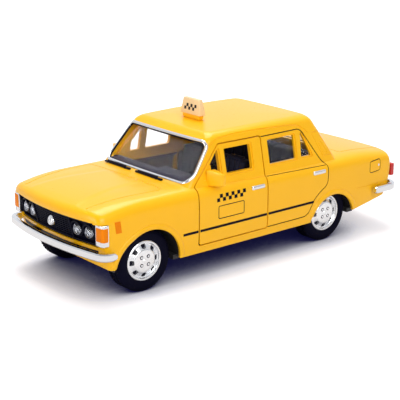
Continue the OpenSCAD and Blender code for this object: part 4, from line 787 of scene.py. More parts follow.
def surface(name, colour, roughness, metallic=0.0, vary=0.06, grain=900.0, bump=0.0, coat=0.0, shine=0.5,
            stretch=(1, 1, 1), transmission=0.0, alpha=1.0):
    """A procedural material: its colour drifts, and a fine grain varies its roughness and is bumped in."""
    material = bpy.data.materials.new(name)
    material.use_nodes = True
    tree = material.node_tree
    new, link = tree.nodes.new, tree.links.new
    shader = tree.nodes["Principled BSDF"]
    for socket, value in (
        ("Metallic", metallic),
        ("Specular IOR Level", shine),
        ("Coat Weight", coat),
        ("Coat Roughness", 0.06),
        ("Transmission Weight", transmission),
        ("Alpha", alpha),
    ):
        shader.inputs[socket].default_value = value
    where, spread = new("ShaderNodeTexCoord"), new("ShaderNodeMapping")
    spread.inputs["Scale"].default_value = stretch
    link(where.outputs["Object"], spread.inputs["Vector"])
    drift, fine = new("ShaderNodeTexNoise"), new("ShaderNodeTexNoise")
    for noise, scale, detail in ((drift, 120.0, 4), (fine, grain, 3)):
        noise.inputs["Scale"].default_value = scale
        noise.inputs["Detail"].default_value = detail
        link(spread.outputs[0], noise.inputs["Vector"])
    dark = [c * (1 - vary) for c in colour]
    light = [min(1, c * (1 + vary * 0.5)) for c in colour]
    link(between(tree, dark, light, drift.outputs[0]), shader.inputs["Base Color"])
    gloss = scaled(tree, fine.outputs[0], (0, 1), (roughness * 0.8, min(1, roughness * 1.2)))
    link(gloss, shader.inputs["Roughness"])
    if bump:
        rise = new("ShaderNodeBump")
        rise.inputs["Strength"].default_value = bump
        rise.inputs["Distance"].default_value = 0.02 * MM
        link(fine.outputs[0], rise.inputs["Height"])
        link(rise.outputs[0], shader.inputs["Normal"])
    spread_out(tree)
    return material


def finish(kind):
    """The material of one finish, made when it is first asked for."""
    name = f"taxi_{kind}"
    colour, _, roughness, more = FINISHES[kind]
    chosen = getattr(bpy.context.scene.taxi_colours, colour)
    return bpy.data.materials.get(name) or surface(name, chosen, roughness, **more)


def colour_property(label, what, default):
    """A colour that a user may change."""
    return bpy.props.FloatVectorProperty(
        name=label, description=what, default=default, size=3, min=0.0, max=1.0, subtype="COLOR"
    )


def length_property(label, what, default):
    """A length that a user may change, with its default in millimetres."""
    return bpy.props.FloatProperty(
        name=label, description=what, default=default * MM, min=0.0, unit="LENGTH", precision=5
    )


def count_property(label, what, default, least):
    """A number of copies that a user may change."""
    return bpy.props.IntProperty(name=label, description=what, default=default, min=least)


class TaxiSizes(bpy.types.PropertyGroup):
    """Sizes of the looks that a user may change."""

    shut_gap: length_property("Shut gap", "Gap round an opening door", 0.35)
    groove: length_property("Panel line", "Radius of the engraved panel lines", 0.17)
    lip: length_property("Arch lip", "Width of the rolled lip round a wheel arch", 1.5)
    trim: length_property("Screen trim", "Width of the bright frame round a screen", 0.9)
    stripe: length_property("Side stripe", "Height of the dark stripe along the side", 0.7)
    rebate: length_property("Window step", "Width of the step round a side window", 0.45)
    bar: length_property("Grille bar", "Thickness of a grille bar", 0.2)
    tread: length_property("Tread block", "How far a tread block stands out", 0.12)
    square: length_property("Checker square", "Side of a square in the door's checker band", 1.0)
    bars: count_property("Grille bars", "Bars up the grille", 10, 2)
    blocks: count_property("Tread blocks", "Blocks round a tyre", 56, 8)
    slots: count_property("Rim slots", "Slots round a rim", 8, 3)
    nuts: count_property("Wheel nuts", "Nuts on a hub", 4, 3)


class TaxiColours(bpy.types.PropertyGroup):
    """Colours of the looks that a user may change."""

    paint: colour_property("Paint", "Body colour", (0.96, 0.51, 0.006))
    cream: colour_property("Sign", "Roof sign", (0.86, 0.65, 0.38))
    # The black, bar and tyre colours carry a blue tint: painted shade, for the blue of the shade on them.
    black: colour_property("Black", "Grille, wipers, stripe and checker", (0.003, 0.003, 0.012))
    bars: colour_property("Grille bars", "Fine bars across the grille", (0.006, 0.006, 0.02))
    rubber: colour_property("Tyre", "Tyre rubber", (0.002, 0.002, 0.011))
    bright: colour_property("Bright trim", "Bumpers, frames and handles", (0.74, 0.75, 0.77))
    silver: colour_property("Rim", "Wheel rims", (0.84, 0.86, 0.9))
    amber: colour_property("Amber", "Indicators and side markers", (0.85, 0.23, 0.003))
    red: colour_property("Red", "Tail lamps", (0.55, 0.012, 0.012))
    navy: colour_property("Interior", "Seats and tub", (0.012, 0.013, 0.034))
    dash: colour_property("Dashboard", "Dashboard", (0.022, 0.023, 0.05))
    # The linings' colour is painted shade: the yellow paint as it looks in shade inside the cabin.
    card: colour_property("Door cards", "Inner faces of the doors and sides", (0.1, 0.042, 0.022))
    bowl: colour_property("Lamp bowls", "Reflectors of the headlamps", (0.3, 0.31, 0.36))
    pane: colour_property("Glass", "Glazing", (0.93, 0.95, 0.97))
    steel: colour_property("Steel", "Axles, pins and screws", (0.5, 0.51, 0.53))
    nylon: colour_property("Gears", "Motor gears", (0.72, 0.68, 0.55))
    base: colour_property("Base", "Base plate and motor case", (0.018, 0.018, 0.02))


def sizes():
    """The sizes that the panel shows."""
    return bpy.context.scene.taxi_sizes


def mm(name):
    """One of those sizes in millimetres."""
    return getattr(sizes(), name) / MM


STORE = {}


def outer_form():
    """The whole outer form as a closed mesh, made once."""
    if "outer" not in STORE:
        body = loft("outer", body_rings(stations=120, upper_n=140, side_n=22, pressed=True))
        combine(body, [loft("cabin", cabin_rings(**FINE_CABIN))], "UNION")
        body.hide_render = True
        STORE["outer"] = body
        STORE["skin"] = Skin(body)
    return STORE["outer"]


def skin():
    """The outer form's skin, made once."""
    outer_form()
    return STORE["skin"]


def cabin_skin():
    """The cabin's form alone, for what lies on the screens down to their feet."""
    if "cabin_skin" not in STORE:
        cabin = loft("cabin", cabin_rings(**FINE_CABIN))
        STORE["cabin_skin"] = Skin(cabin)
        drop(cabin)
    return STORE["cabin_skin"]


def inner_tools(t):
    """The room inside the body and the cabin, with walls this thick."""
    return [
        loft("inner_body", body_rings(t, NOSE_DEPTH, TAIL_DEPTH, CABIN_FOOT)),
        loft("inner_cabin", cabin_rings(t)),
    ]


def side_cut(name, outline, r, out=0.0, low=-CLEAR):
    """A side outline, moved out and rounded, drawn across the car from low to beyond its left side."""
    return prism(name, fillet(grow(outline, out) if out else outline, r), "x", low, CLEAR)


def window_tools(outlines, low=-CLEAR):
    """Cuts for side windows, each with a shallow step round it."""
    tools = []
    for outline in outlines:
        tools.append(side_cut("window", outline, WINDOW_R, 0, low))
        step = side_cut("step", outline, STEP_R, mm("rebate"), low)
        tools.append(combine(step, [loft("inside", cabin_rings(0.3))]))
    return tools


def lining(outline, depth):
    """A thin lining behind the left side's outer skin, within an outline."""
    sheet = loft("lining", body_rings(depth - 0.1, 2, 2, 4))
    combine(sheet, [loft("inside", body_rings(depth + 0.3, 2, 2, 5))])
    return combine(sheet, [prism("outline", fillet(outline, 0.8), "x", 16.8, CLEAR)], "INTERSECT")


def arch_path(circles, middle, a0, a1, n=60):
    """The outer outline of some circles seen from a middle point between two angles."""
    path = []
    for a in np.radians(np.linspace(a0, a1, n)):
        d = np.array([math.cos(a), math.sin(a)])
        reach = []
        for y, z, r in circles:
            o = np.array(middle) - (y, z)
            b = o @ d
            reach.append(-b + math.sqrt(b * b - o @ o + r * r))
        path.append(np.array(middle) + d * max(reach))
    return path


class TAXI_OT_body(bpy.types.Operator):
    """Builds the painted body with its panel lines, arch lips and openings"""

    bl_idname = "taxi.body"
    bl_label = "Body"

    def execute(self, context):
        form = skin()
        body = copy_of(outer_form(), "body")
        cuts, groove_shades = self.openings(), []
        for path, way, r, loop, dark in self.panel_lines():
            cuts.append(form.line("groove", path, way, wire(r), loop))
            # Painted shade: a dark thread is laid in each groove marked dark.
            if dark:
                groove_shades.append(form.line("seam", path, way, seam(r), loop))
        combine(body, cuts)
        combine(body, self.lips(form) + self.supports(), "UNION")
        finish_piece(body, "body_painted", "paint", nodes=["body_shell"])
        finish_piece(groove_shades, "panel_seams", "black")
        # Painted shade: the bumper lugs are black rather than body yellow, so that the gap behind each bumper
        # reads dark.
        shaded_lugs = [
            box("lug", (x - 1.2, y0, BUMPER_Z[end] - 0.6), (x + 1.2, y1, BUMPER_Z[end] + 0.6), 0.2)
            for x in (-9, 9)
            for end, y0, y1 in (("front", -54.0, -50.0), ("rear", 50.0, 53.6))
        ]
        finish_piece(shaded_lugs, "bumper_lugs", "black")
        # Painted shadow: a black strip across the nose above the front bumper, for the shaded gap there.
        band = form.patch("band", (-17.2, 12.1), (17.2, 13.3), "front", 0.06)
        finish_piece(band, "nose_band", "black")
        liners = [self.liner(circles) for circles in (ARCHES[:2], [ARCHES[2], REAR_TYRE_ROOM])]
        finish_piece(liners + [mirrored(liner) for liner in liners], "arch_liners", "base")
        return {"FINISHED"}

    def openings(self):
        """Cuts for the room inside, the doors, windows, screens, arches, grille and lamps."""
        gap = mm("shut_gap")
        cuts = inner_tools(WALL) + [side_cut("door", DOOR, DOOR_R + gap, gap)]
        cuts += window_tools([REAR_MAIN, REAR_QUARTER])
        cuts += [prism("screen", fillet(outline, SCREEN_R), "y", *ends) for outline, _, ends in SCREENS]
        for side in (-1, 1):
            ends = span(side, WHEEL_IN, CLEAR + 2)
            cuts += [prism("arch", circle(y, z, r, 96), "x", *ends) for y, z, r in ARCHES]
        cuts.append(self.grille_tool())
        high = CORNER_H + LAMP_GAP
        for side in (-1, 1):
            x0, x1 = span(side, CORNER_X - LAMP_GAP, CLEAR)
            cuts.append(box("corner", (x0, NOSE_CLEAR, CORNER_Z - high), (x1, -49.3, CORNER_Z + high)))
            x0, x1 = span(side, TAIL_LAMP_X[0] - LAMP_GAP, TAIL_LAMP_X[1] + LAMP_GAP)
            z0, z1 = TAIL_LAMP_Z[0] - LAMP_GAP, TAIL_LAMP_Z[1] + LAMP_GAP
            cuts.append(box("lamp", (x0, 51.4, z0), (x1, TAIL_CLEAR, z1)))
        return cuts

    def grille_tool(self):
        """A slot whose floor leans and bows with the nose."""
        tool = box("slot", (-17.68, NOSE_CLEAR, 14.22), (17.68, -47.5, 20.88))
        x = np.linspace(-19, 19, 60)
        rings = []
        for z in np.linspace(13, 22, 4):
            face = np.column_stack([x, front_y(x, z) + 2.9, np.full(60, z)])
            back = np.column_stack([x[::-1], np.full(60, -45.0), np.full(60, z)])
            rings.append(np.vstack([face, back]))
        return combine(tool, [loft("nose_floor", rings)])

    def panel_lines(self):
        """Each engraved line: its path, the way it is seen, its radius, closed or not, and whether a dark
        thread of painted shade lies in its groove.
        """
        r = mm("groove")
        for way in ("left", "right"):
            yield fillet_open(REAR_DOOR, 0.8), way, r, False, True
            yield [(3.15, WAIST_Z - 0.9), (25.5, WAIST_Z - 1.5)], way, 0.12, False, True
            yield fillet_open(GUTTER, 2), way, 0.2, False, False
            for vent in VENTS:
                yield fillet(vent, 0.3), way, 0.13, True, False
            yield [(37.8, 13.9), (51.0, 13.6)], way, 0.1, False, False
        yield fillet(FLAP, 0.5), "left", 0.14, True, True
        yield fillet_open(BONNET, 1.5), "top", r, False, False
        yield fillet_open(BOOT, 0.4), "top", r, False, False
        for side in (-1, 1):
            yield [(side * 15.2, 22.3), (side * 14.6, 19.0)], "rear", r, False, False

    def lips(self, form):
        """Rolled lips over the wheel arches, each between two angles about a middle point."""
        oval = wire(1, 16) * (mm("lip") / 2, mm("lip") / 5)
        lips = []
        for way in ("left", "right"):
            for circles, middle, ends in (
                (ARCHES[:2], (-37.4, 7.2), (0, 172)),
                (ARCHES[2:], (28.4, 5.1), (24, 157)),
            ):
                path = arch_path([(y, z, r + 0.5) for y, z, r in circles], middle, *ends)
                lips.append(form.line("lip", path, way, oval))
        return lips

    def supports(self):
        """Hinge lugs, screw posts and the pad under the roof sign."""
        parts = []
        for side in (-1, 1):
            x0, x1 = span(side, HINGE_X - 0.2, 20.3)
            for z in LUG_Z:
                parts.append(prism("lug", circle(side * HINGE_X, HINGE_Y, 1.3, 24), "z", z, z + LUG_H))
                parts.append(box("lug_arm", (x0, -25.6, z), (x1, -23.2, z + LUG_H)))
        for y in (FRONT_AXLE + 8, REAR_AXLE + 11):
            parts.append(prism("post", circle(0, y, 2.2, 32), "z", 7.7, body_top(y) - 0.5))
        parts.append(box("sign_pad", (-3.2, SIGN_Y - 0.7, 36.6), (3.2, SIGN_Y + 0.7, 37.6)))
        return parts

    def liner(self, circles):
        """A dark cup over a wheel, open outwards and below."""
        cups = [prism("liner", circle(y, z, r + 0.35, 72), "x", 12.55, 19.55) for y, z, r in circles]
        cup = combine(cups[0], cups[1:], "UNION")
        rooms = [prism("room", circle(y, z, r, 72), "x", 12.85, 20) for y, z, r in circles]
        rooms.append(box("below", (0, -60, -10), (30, 60, 7.6)))
        return combine(cup, rooms)


class TAXI_OT_doors(bpy.types.Operator):
    """Builds both opening front doors"""

    bl_idname = "taxi.doors"
    bl_label = "Doors"

    def execute(self, context):
        door = combine(copy_of(outer_form(), "door"), [side_cut("outline", DOOR, DOOR_R, 0, 0)], "INTERSECT")
        cuts = inner_tools(DOOR_T) + window_tools([DOOR_MAIN, DOOR_QUARTER], 0)
        waist = [(DOOR_FRONT + 0.1, WAIST_Z), (DOOR_REAR - 0.2, WAIST_Z - 0.85)]
        combine(door, cuts + [self.relief(), skin().line("waist", waist, "left", wire(0.14))])
        # Painted shade: a dark brown lining inside each door darkens the cabin as seen through its windows.
        card = lining([(-19.6, 10.6), (1.4, 10.6), (1.4, 25.2), (-19.0, 25.2)], DOOR_T)
        for side, piece in both_sides(door):
            finish_piece(piece, f"{side}_door_painted", "paint", f"{side}_door", [f"{side}_door"])
        for side, piece in both_sides(card):
            finish_piece(piece, f"{side}_door_card", "card", f"{side}_door")
        return {"FINISHED"}

    def relief(self):
        """A wedge off the inside of the front edge, so that the door clears the wing as it swings."""
        block = box("relief", (-23.6, -23.6, 0), (1, 0, 16.3))
        turn = Matrix.Rotation(math.radians(-30), 4, "Z")
        block.data.transform(Matrix.Translation((HALF_W, DOOR_FRONT, DOOR_LOW - 1)) @ turn)
        return combine(block, [loft("under_skin", body_rings(0.35, 0, 0, CABIN_FOOT))], "INTERSECT")


class TAXI_OT_glazing(bpy.types.Operator):
    """Builds the clear screens and side panes"""

    bl_idname = "taxi.glazing"
    bl_label = "Glazing"

    def execute(self, context):
        panes = [self.pane(outline, SCREEN_R, "y", ends) for outline, _, ends in SCREENS]
        for outline in (REAR_MAIN, REAR_QUARTER):
            panes += [self.pane(outline, WINDOW_R, "x", ends) for ends in ((0, CLEAR), (-CLEAR, 0))]
        finish_piece(panes, "clear_panes", "pane", nodes=["glazing"])
        return {"FINISHED"}

    def pane(self, outline, r, axis, ends):
        """A thin sheet just under the cabin's skin, within an outline."""
        sheet = combine(loft("pane", cabin_rings(0.5, **FINE_CABIN)), [loft("inside", cabin_rings(1.2))])
        edge = prism("outline", fillet(grow(outline, -0.06), r), axis, *ends)
        return combine(sheet, [edge], "INTERSECT")


class TAXI_OT_trim(bpy.types.Operator):
    """Lays the screen frames, side stripe, handles, markers and checker bands on the body"""

    bl_idname = "taxi.trim"
    bl_label = "Trim"

    def execute(self, context):
        form, cabin = skin(), cabin_skin()
        half = mm("trim") / 2
        strip = [(0.14, 0.0), (-0.14, 0.0), (-0.14, -0.5), (0.14, -0.5)]
        frames, seals = [], []
        for outline, way, _ in SCREENS:
            path = fillet(grow(outline, half - 0.15), SCREEN_R + half)
            frames.append(cabin.line("frame", path, way, bead(half, 0.32), True, 0.4))
            path = fillet(grow(outline, -0.08), SCREEN_R)
            seals.append(cabin.line("seal", path, way, strip, True, 0.4))
        finish_piece(frames, "screen_frames", "bright")
        finish_piece(seals, "screen_seals", "black")
        for side in ("left", "right"):
            self.stripes(form, side)
            self.handles(form, side)
            marker = form.patch("marker", (-47.1, 17.8), (-45.5, 20.8), side, 0.14, shear=-0.12)
            finish_piece(marker, f"{side}_side_marker", "amber")
            self.checker(form, side)
        lock = form.patch("lock", (46.6, 19.0), (47.2, 19.6), "left", 0.16, step=0.2)
        finish_piece(lock, "flap_lock", "bright")
        return {"FINISHED"}

    def stripes(self, form, side):
        """A dark stripe along one side, in three lengths so that the door's swings with it."""
        profile = bead(mm("stripe") / 2, 0.14, 0.1, 7)
        for name, y0, y1, body in (
            ("wing", -26.4, -21.55, "body"),
            ("door", -20.8, 2.4, f"{side}_door"),
            ("rear", 3.1, 20.2, "body"),
        ):
            piece = form.line("stripe", [(y0, STRIPE_Z), (y1, STRIPE_Z)], side, profile)
            finish_piece(piece, f"{side}_{name}_stripe", "black", body)

    def handles(self, form, side):
        """A bright grip on each door of one side."""
        for name, y0, y1, body in (("front", -3.1, 1.6, f"{side}_door"), ("rear", 19.9, 24.7, "body")):
            (place,), _ = form.lay([((y0 + y1) / 2, (HANDLE_LOW + HANDLE_HIGH) / 2)], side)
            x0, x1 = span(math.copysign(1, place[0]), abs(place[0]) - 0.4, abs(place[0]) + 0.45)
            grip = box("grip", (x0, y0, HANDLE_LOW), (x1, y1, HANDLE_HIGH), 0.42, 6)
            finish_piece(grip, f"{side}_{name}_handle", "bright", body)

    def checker(self, form, side):
        """A checker band and an empty frame under it on one front door."""
        (y, z), size = CHECKER_AT, mm("square")
        corners = [
            [(y + size * (i + k), z + size * (j + k)) for k in (0, 1)]
            for j in range(CHECKER_ROWS)
            for i in range(CHECKER_COLUMNS)
            if (i + j) % 2 == 0
        ]
        squares = [form.patch("square", low, high, side, 0.03, 0.05) for low, high in corners]
        rim = fillet([(-14.6, 15.2), (-5.8, 15.2), (-5.8, 18.6), (-14.6, 18.6)], 0.3)
        squares.append(form.line("rim", rim, side, bead(0.12, 0.03, 0.05, 5), True, 0.4))
        finish_piece(squares, f"{side}_door_checker", "black", f"{side}_door")


class TAXI_OT_front(bpy.types.Operator):
    """Builds the grille, its badge, the headlamps and the corner lamps"""

    bl_idname = "taxi.front"
    bl_label = "Front"

    # Turned profiles of (radius, along)
    BADGE = [
        (0, 0.52), (0.75, 0.5), (0.85, 0.42), (0.95, 0.5), (1.2, 0.46), (1.3, 0.3), (1.3, -0.35), (0, -0.35),
    ]
    BOWL = [
        (0, -0.6), (0.6, -0.52), (1.1, -0.28), (1.38, 0.02), (1.48, 0.1), (1.58, 0.02),
        (1.58, -0.9), (0, -0.9),
    ]
    DOME = [(0, 0.3), (0.5, 0.27), (0.95, 0.18), (1.25, 0.05), (1.36, -0.05), (1.3, -0.18), (0, -0.1)]

    # Mouldings of (across, depth behind the nose)
    EDGE = [(0.28, 0.55), (0.28, 1.6), (-0.28, 1.6), (-0.28, 0.55), (-0.12, 0.42), (0.12, 0.42)]
    RING = [(0.16, 0.7), (0.16, 1.6), (-0.16, 1.6), (-0.16, 0.7)]

    # Plans of (X, Y) from the corner lamp's inner front edge
    CASE = [(0, 0), (2.3, 0.2), (2.9, 0.6), (2.9, CORNER_L), (0, CORNER_L)]
    AMBER = [(0.35, -0.12), (2.4, 0.1), (3.02, 0.56), (3.02, 1.9), (0.35, 1.9)]

    def execute(self, context):
        self.grille()
        badge = self.turned(self.BADGE, 0, GRILLE_Z, 0.62)
        finish_piece(badge, "badge_plain", "bright", nodes=["grille_badge"])
        for profile, name, kind, nodes in (
            (self.BOWL, "lamp_bowls", "bowl", []),
            (self.DOME, "lamp_glasses", "lens", ["headlamps"]),
        ):
            finish_piece([self.turned(profile, x, LAMP_Z, 0.95) for x in HEADLAMPS], name, kind, nodes=nodes)
        front = float(front_y(CORNER_X, CORNER_Z)) - 0.1
        for plan, low, high, name, kind, node in (
            (self.CASE, CORNER_H, CORNER_H, "corner_lamp_cases", "bright", "corner_lamps"),
            (self.AMBER, 1.5, 2.1, "indicator_ambers", "amber", "indicator_lenses"),
        ):
            plan = [(CORNER_X + x, front + y) for x, y in plan]
            lamp = bevel(prism("corner", plan, "z", CORNER_Z - low, CORNER_Z + high), 0.2)
            finish_piece([mirrored(lamp), lamp], name, kind, nodes=[node])
        return {"FINISHED"}

    def grille(self):
        """The fine bars across the middle, and the black panel with its rails and lamp rings."""
        count = sizes().bars
        bar = self.divide(box("bar", (-8.1, 0.7, 14.8), (8.1, 1.5, 14.8 + mm("bar"))))
        finish_piece(self.to_nose(repeat(bar, "bars", count, (0, 0, 5.9 / count))), "grille_bars", "bars")
        panel = self.to_nose(self.divide(box("panel", (-17.5, 1.35, 14.35), (17.5, 2.7, 20.75))))
        rim = fillet([(-17.3, 14.55), (17.3, 14.55), (17.3, 20.55), (-17.3, 20.55)], 0.3)
        parts = [panel, self.rail(rim, self.EDGE, True)]
        parts += [self.rail([(x, 14.6), (x, 20.5)], self.EDGE) for x in (-8.3, 8.3, -16.9, 16.9)]
        parts += [self.rail(circle(x, LAMP_Z, 1.9), self.RING, True) for x in HEADLAMPS]
        finish_piece(parts, "grille_black", "black", nodes=["grille"])

    def divide(self, obj):
        """Cuts a piece's faces every millimetre across the car, so that it can bend."""
        with edited(obj.data) as shape:
            for x in np.linspace(-17, 17, 35):
                every = shape.verts[:] + shape.edges[:] + shape.faces[:]
                bmesh.ops.bisect_plane(shape, geom=every, plane_co=(x, 0, 0), plane_no=(1, 0, 0))
        return obj

    def to_nose(self, obj):
        """Bends a piece, modelled with Y as its depth behind the nose, on to the nose."""

        def bend(co):
            co[:, 1] += front_y(co[:, 0], co[:, 2])

        return reshape(obj, bend)

    def rail(self, path, section, loop=False):
        """A moulding along a flat path on the nose."""
        flat = even_path(path, loop, 0.35, 3)
        points = np.column_stack([flat[:, 0], np.zeros(len(flat)), flat[:, 1]])
        normals = np.tile((0.0, 1.0, 0.0), (len(flat), 1))
        return self.to_nose(sweep("rail", points, normals, section, loop))

    def turned(self, profile, x, z, depth):
        """A turned profile that looks out of the nose at a place."""
        obj = spin("turned", profile, 64)
        way = Matrix.Rotation(math.atan(2 * NOSE_BOW * x / HALF_W**2), 4, "Z")
        way = way @ Matrix.Rotation(-math.atan(NOSE_LEAN), 4, "X") @ Matrix.Rotation(-math.pi / 2, 4, "Z")
        obj.data.transform(Matrix.Translation((x, front_y(x, z) + depth, z)) @ way)
        return obj


class TAXI_OT_bumpers(bpy.types.Operator):
    """Sweeps both bright bumpers round the nose and the tail"""

    bl_idname = "taxi.bumpers"
    bl_label = "Bumpers"

    # A bellied bar with two fine ribs across its face, thin towards the car
    SECTION = [
        (0.25, -1.12), (0.55, -0.98), (0.7, -0.6), (0.74, -0.42), (0.68, -0.36), (0.75, -0.3), (0.75, 0.3),
        (0.68, 0.36), (0.74, 0.42), (0.7, 0.6), (0.55, 0.98), (0.25, 1.12),
        (-0.45, 1.0), (-0.7, 0.7), (-0.7, -0.7), (-0.45, -1.0),
    ]

    def execute(self, context):
        for name, bow, wrap, way in (("front", NOSE_BOW, 1.0, 1), ("rear", TAIL_BOW, 6.4, -1)):
            plan = self.plan(bow, wrap)
            plan[:, 1] = way * (plan[:, 1] - HALF_L + BUMPER_T / 2)
            points = np.column_stack([plan, np.full(len(plan), BUMPER_Z[name])])
            upright = np.tile((0.0, 0.0, 1.0), (len(plan), 1))
            bar = sweep(name, points, upright, [(way * u, v) for u, v in self.SECTION])
            self.taper(bar, BUMPER_Z[name])
            finish_piece(bar, f"{name}_bumper_bright", "bright", nodes=[f"{name}_bumper"])
        return {"FINISHED"}

    def plan(self, bow, wrap):
        """The bar's line from above: a bowed middle, round corners and straight ends along the sides."""
        flat = BUMPER_HALF - BUMPER_R
        end = bow * (flat / BUMPER_HALF) ** 2
        start = end + BUMPER_R
        a = np.radians(np.linspace(0, 90, 14))
        ys = np.linspace(start + wrap, start, 12, endpoint=False)
        side = np.column_stack([np.full(12, BUMPER_HALF), ys])
        corner = np.column_stack([flat + BUMPER_R * np.cos(a), start - BUMPER_R * np.sin(a)])
        x = np.linspace(flat, -flat, 60)[1:-1]
        middle = np.column_stack([x, bow * (x / BUMPER_HALF) ** 2])
        other = [(line * (-1, 1))[::-1] for line in (corner, side)]
        return resample(np.vstack([side, corner, middle, *other]), 170)

    def taper(self, bar, z):
        """Draws the ends of the bar in to a rounded tip."""

        def draw_in(co):
            along = np.abs(co[:, 1])
            near = np.clip((along - along.min()) / 1.6, 0, 1)
            co[:, 2] = z + (co[:, 2] - z) * (0.55 + 0.45 * np.sqrt(1 - (1 - near) ** 2))

        reshape(bar, draw_in)


class TAXI_OT_tail(bpy.types.Operator):
    """Builds the tail lamps"""

    bl_idname = "taxi.tail"
    bl_label = "Tail lamps"

    def execute(self, context):
        cases, reds, clears = [], [], []
        (x0, x1), (z0, z1) = TAIL_LAMP_X, TAIL_LAMP_Z
        for side in (-1, 1):
            cases.append(self.block(side, (x0, x1), (z0, z1), 52.9))
            reds.append(self.block(side, (x0 + 1.7, x1 - 0.1), (z0 + 0.15, z1 - 0.15), 53.85))
            reds.append(self.block(side, (x0 + 1.7, x1 + 0.85), (z0 - 0.1, z1 + 0.1), 54.4, 53.0))
            clears.append(self.block(side, (x0 + 0.2, x0 + 1.65), (z0 + 0.15, z1 - 0.15), 53.8))
        finish_piece(cases, "tail_lamp_cases", "bright", nodes=["tail_lamps"])
        finish_piece(reds, "tail_lamp_reds", "red")
        finish_piece(clears, "tail_lamp_clears", "lens")
        return {"FINISHED"}

    def block(self, side, across, up, rear, front=51.5):
        """A rounded block between two places along Y."""
        x0, x1 = span(side, *across)
        return box("lamp", (x0, front, up[0]), (x1, rear, up[1]), 0.2)


class TAXI_OT_sign(bpy.types.Operator):
    """Builds the roof sign with a checker band, and its base"""

    bl_idname = "taxi.sign"
    bl_label = "Roof sign"

    SQUARE, COLUMNS, ROWS, BAND_UP = 0.85, 6, 2, 1.15

    def execute(self, context):
        y = SIGN_Y
        rings = [
            [(w, y - d, z), (w, y + d, z), (-w, y + d, z), (-w, y - d, z)]
            for (w, d), z in ((SIGN_FOOT, SIGN_LOW), (SIGN_TOP, SIGN_HIGH))
        ]
        finish_piece(bevel(loft("sign", rings), 0.2), "sign_cream", "cream", nodes=["roof_sign"])
        foot = fillet([(-3.45, y - 0.95), (3.45, y - 0.95), (3.45, y + 0.95), (-3.45, y + 0.95)], 0.3)
        base = bevel(prism("base", foot, "z", 37.55, SIGN_LOW), 0.08, 2)
        finish_piece(base, "sign_foot", "paint", nodes=["roof_sign_base"])
        squares = [
            self.square(i, j, way)
            for i in range(self.COLUMNS)
            for j in range(self.ROWS)
            if (i + j) % 2 == 0
            for way in (-1, 1)
        ]
        finish_piece(squares, "sign_checker", "black")
        return {"FINISHED"}

    def square(self, i, j, way):
        """One dark square of the band on the sign's front, -1, or back, 1."""
        face = []
        for u, v in ((0, 0), (1, 0), (1, 1), (0, 1)):
            h = self.BAND_UP + (j + v) * self.SQUARE
            d = mix(SIGN_FOOT[1], SIGN_TOP[1], h / (SIGN_HIGH - SIGN_LOW)) + 0.015
            face.append(((i + u - self.COLUMNS / 2) * self.SQUARE, SIGN_Y + way * d, SIGN_LOW + h))
        return loft("square", [face, [(x, y - way * 0.05, z) for x, y, z in face]])


class TAXI_OT_wipers(bpy.types.Operator):
    """Builds both wipers"""

    bl_idname = "taxi.wipers"
    bl_label = "Wipers"

    def execute(self, context):
        y, parts = WIPER_Y, []
        for x in WIPERS_X:
            parts.append(box("blade", (x - 5.7, y - 0.4, 25.28), (x + 5.7, y + 0.4, 25.72), 0.15))
            parts.append(box("arm", (x - 4.6, y - 0.25, 25.6), (x + 3.8, y + 0.25, 26.05), 0.12))
            parts.append(prism("cap", circle(x + 3.4, y, 0.4, 24), "z", 25.2, 26.06))
        finish_piece(parts, "wipers_black", "black", nodes=["wipers"])
        return {"FINISHED"}


class TAXI_OT_mirrors(bpy.types.Operator):
    """Builds both door mirrors with their glasses"""

    bl_idname = "taxi.mirrors"
    bl_label = "Mirrors"

    def execute(self, context):
        for side, ahead in MIRROR_AHEAD.items():
            case, glass = self.mirror(ahead)
            if side == "right":
                flip(case)
                flip(glass)
            finish_piece(case, f"{side}_mirror_case", "paint", f"{side}_door", [f"{side}_mirror"])
            finish_piece(glass, f"{side}_mirror_glass", "bright", f"{side}_door")
        return {"FINISHED"}

    def mirror(self, ahead):
        """A wedge that leans back outwards from a panel in the window's corner, and its glass."""
        back = MIRROR_BACK - ahead
        ends = ((MIRROR_IN, MIRROR_FOOT), (MIRROR_OUT, MIRROR_TIP))
        case = bevel(loft("case", [[(x, y - ahead, z) for y, z in ring] for x, ring in ends]), 0.35, 4)
        sail = combine(loft("sail", cabin_rings(0.12)), [loft("inside", cabin_rings(0.9))])
        combine(sail, [prism("outline", MIRROR_SAIL, "x", 10, CLEAR)], "INTERSECT")
        combine(case, [sail], "UNION")
        combine(case, [box("well", (19.8, back - 0.3, 24.9), (22.45, back + 1, 27.1), 0.25)])
        return case, box("glass", (19.85, back - 0.4, 24.95), (22.4, back - 0.2, 27.05), 0.08, 2)


